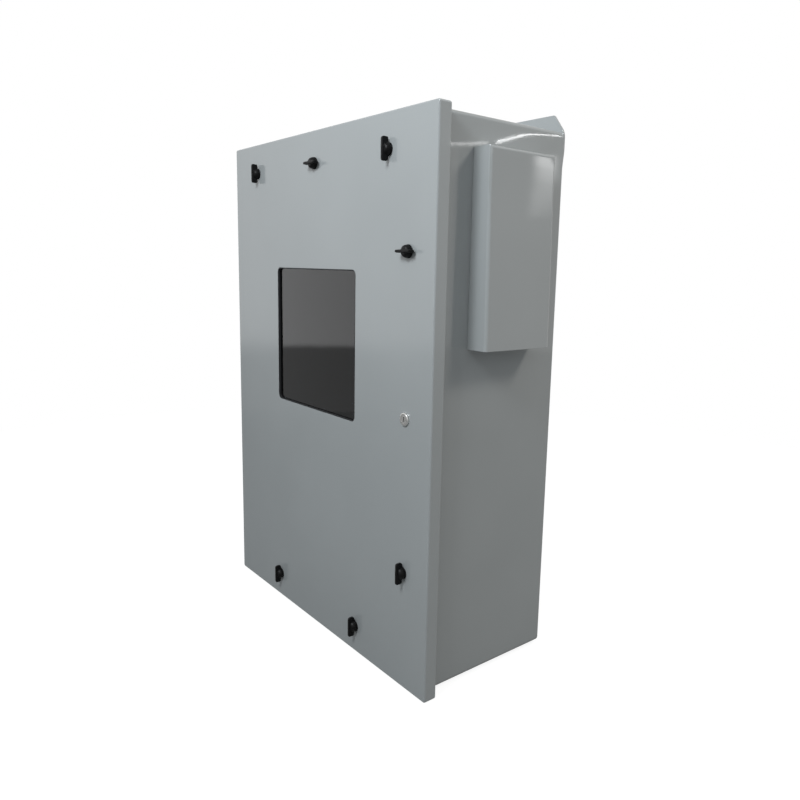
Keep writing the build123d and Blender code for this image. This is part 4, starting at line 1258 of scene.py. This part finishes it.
world = bpy.data.worlds.new("surroundings")
bpy.context.scene.world = world
world.use_nodes = True
tree = world.node_tree
tree.nodes.clear()
direction = add_node(tree, "ShaderNodeTexCoord").outputs["Generated"]
along = add_node(tree, "ShaderNodeSeparateXYZ", inputs={"Vector": direction}).outputs
azimuth = add_node(tree, "ShaderNodeMath", {"operation": "ARCTAN2"}, {0: along["Y"], 1: along["X"]})
elevation = add_node(tree, "ShaderNodeMath", {"operation": "ARCSINE"}, {0: along["Z"]})
ambient = add_node(
    tree,
    "ShaderNodeMapRange",
    SOFT_STEP,
    {"Value": elevation, **WALL_FOOT, "To Min": AMBIENT_BELOW, "To Max": AMBIENT_ABOVE},
)
frontal = add_node(
    tree, "ShaderNodeVectorMath", {"operation": "DOT_PRODUCT"}, {0: direction, 1: TOWARDS_FRONT}
)
wall = add_node(
    tree,
    "ShaderNodeMapRange",
    SOFT_STEP,
    {
        "Value": frontal.outputs["Value"],
        **FRONT_REACH,
        "To Min": MIRRORED_SIDE,
        "To Max": MIRRORED_FRONT,
    },
)
mirrored = add_node(
    tree,
    "ShaderNodeMapRange",
    SOFT_STEP,
    {"Value": elevation, **WALL_FOOT, "To Min": MIRRORED_FLOOR, "To Max": wall},
)
doorway = add_node(
    tree,
    "ShaderNodeMath",
    {"operation": "MULTIPLY"},
    {0: band(tree, azimuth, DOORWAY_AZIMUTHS), 1: band(tree, elevation, DOORWAY_ELEVATIONS)},
)
mirrored = add_node(
    tree, "ShaderNodeMath", {"operation": "MULTIPLY_ADD"}, {0: doorway, 1: DOORWAY, 2: mirrored}
)
room = add_node(tree, "ShaderNodeBackground", inputs={"Color": linear("#f6fbff"), "Strength": ambient})
backdrop = add_node(
    tree,
    "ShaderNodeBackground",
    inputs={"Color": linear("#ffffff"), "Strength": brightness(tree, mirrored, BACKDROP_GLOW)},
)
shown = add_node(
    tree, "ShaderNodeMixShader", inputs={0: looking_rays(tree), 1: room.outputs[0], 2: backdrop.outputs[0]}
)
add_node(tree, "ShaderNodeOutputWorld", inputs={"Surface": shown.outputs[0]})


# %% Lamps
def soft_lamp(name, place, target, size, watts, colour="#ffffff", roll=0):
    """A rectangular lamp that faces a target, with its right end raised by a roll in degrees."""
    light = bpy.data.lights.new(name, "AREA")
    light.shape = "RECTANGLE"
    light.size, light.size_y = size
    light.energy = watts
    light.color = linear(colour)[:3]
    lamp = add_piece(name, light)
    facing = (Vector(target) - Vector(place)).to_track_quat("-Z", "Y")
    rolled = Matrix.Rotation(math.radians(roll), 4, "Z")
    lamp.matrix_world = Matrix.Translation(place) @ facing.to_matrix().to_4x4() @ rolled
    lamp.visible_camera = False
    return lamp


SIDE_TOP = (0.351, -0.15, 0.485)
lamps = [
    soft_lamp("key", (0.55, -1.6, 1.35), (0.1, -0.3, 0.2), (0.6, 0.5), 20.5, "#f4faff"),
    soft_lamp("side", (1.94, 1.42, 2.37), (0.36, -0.2, 0.3), (0.7, 0.7), 28.5, "#fff7ee"),
    soft_lamp("far_tube", (5.766, 5.739, 1.975), SIDE_TOP, (0.89, 0.028), 1.2, roll=6.2),
    soft_lamp("far_tube_end", (6.343, 5.151, 1.93), SIDE_TOP, (0.55, 0.028), 0.25),
]
lamps[1].visible_glossy = False
bpy.context.scene.view_settings.view_transform = "Standard"
print("lamps:", len(lamps))
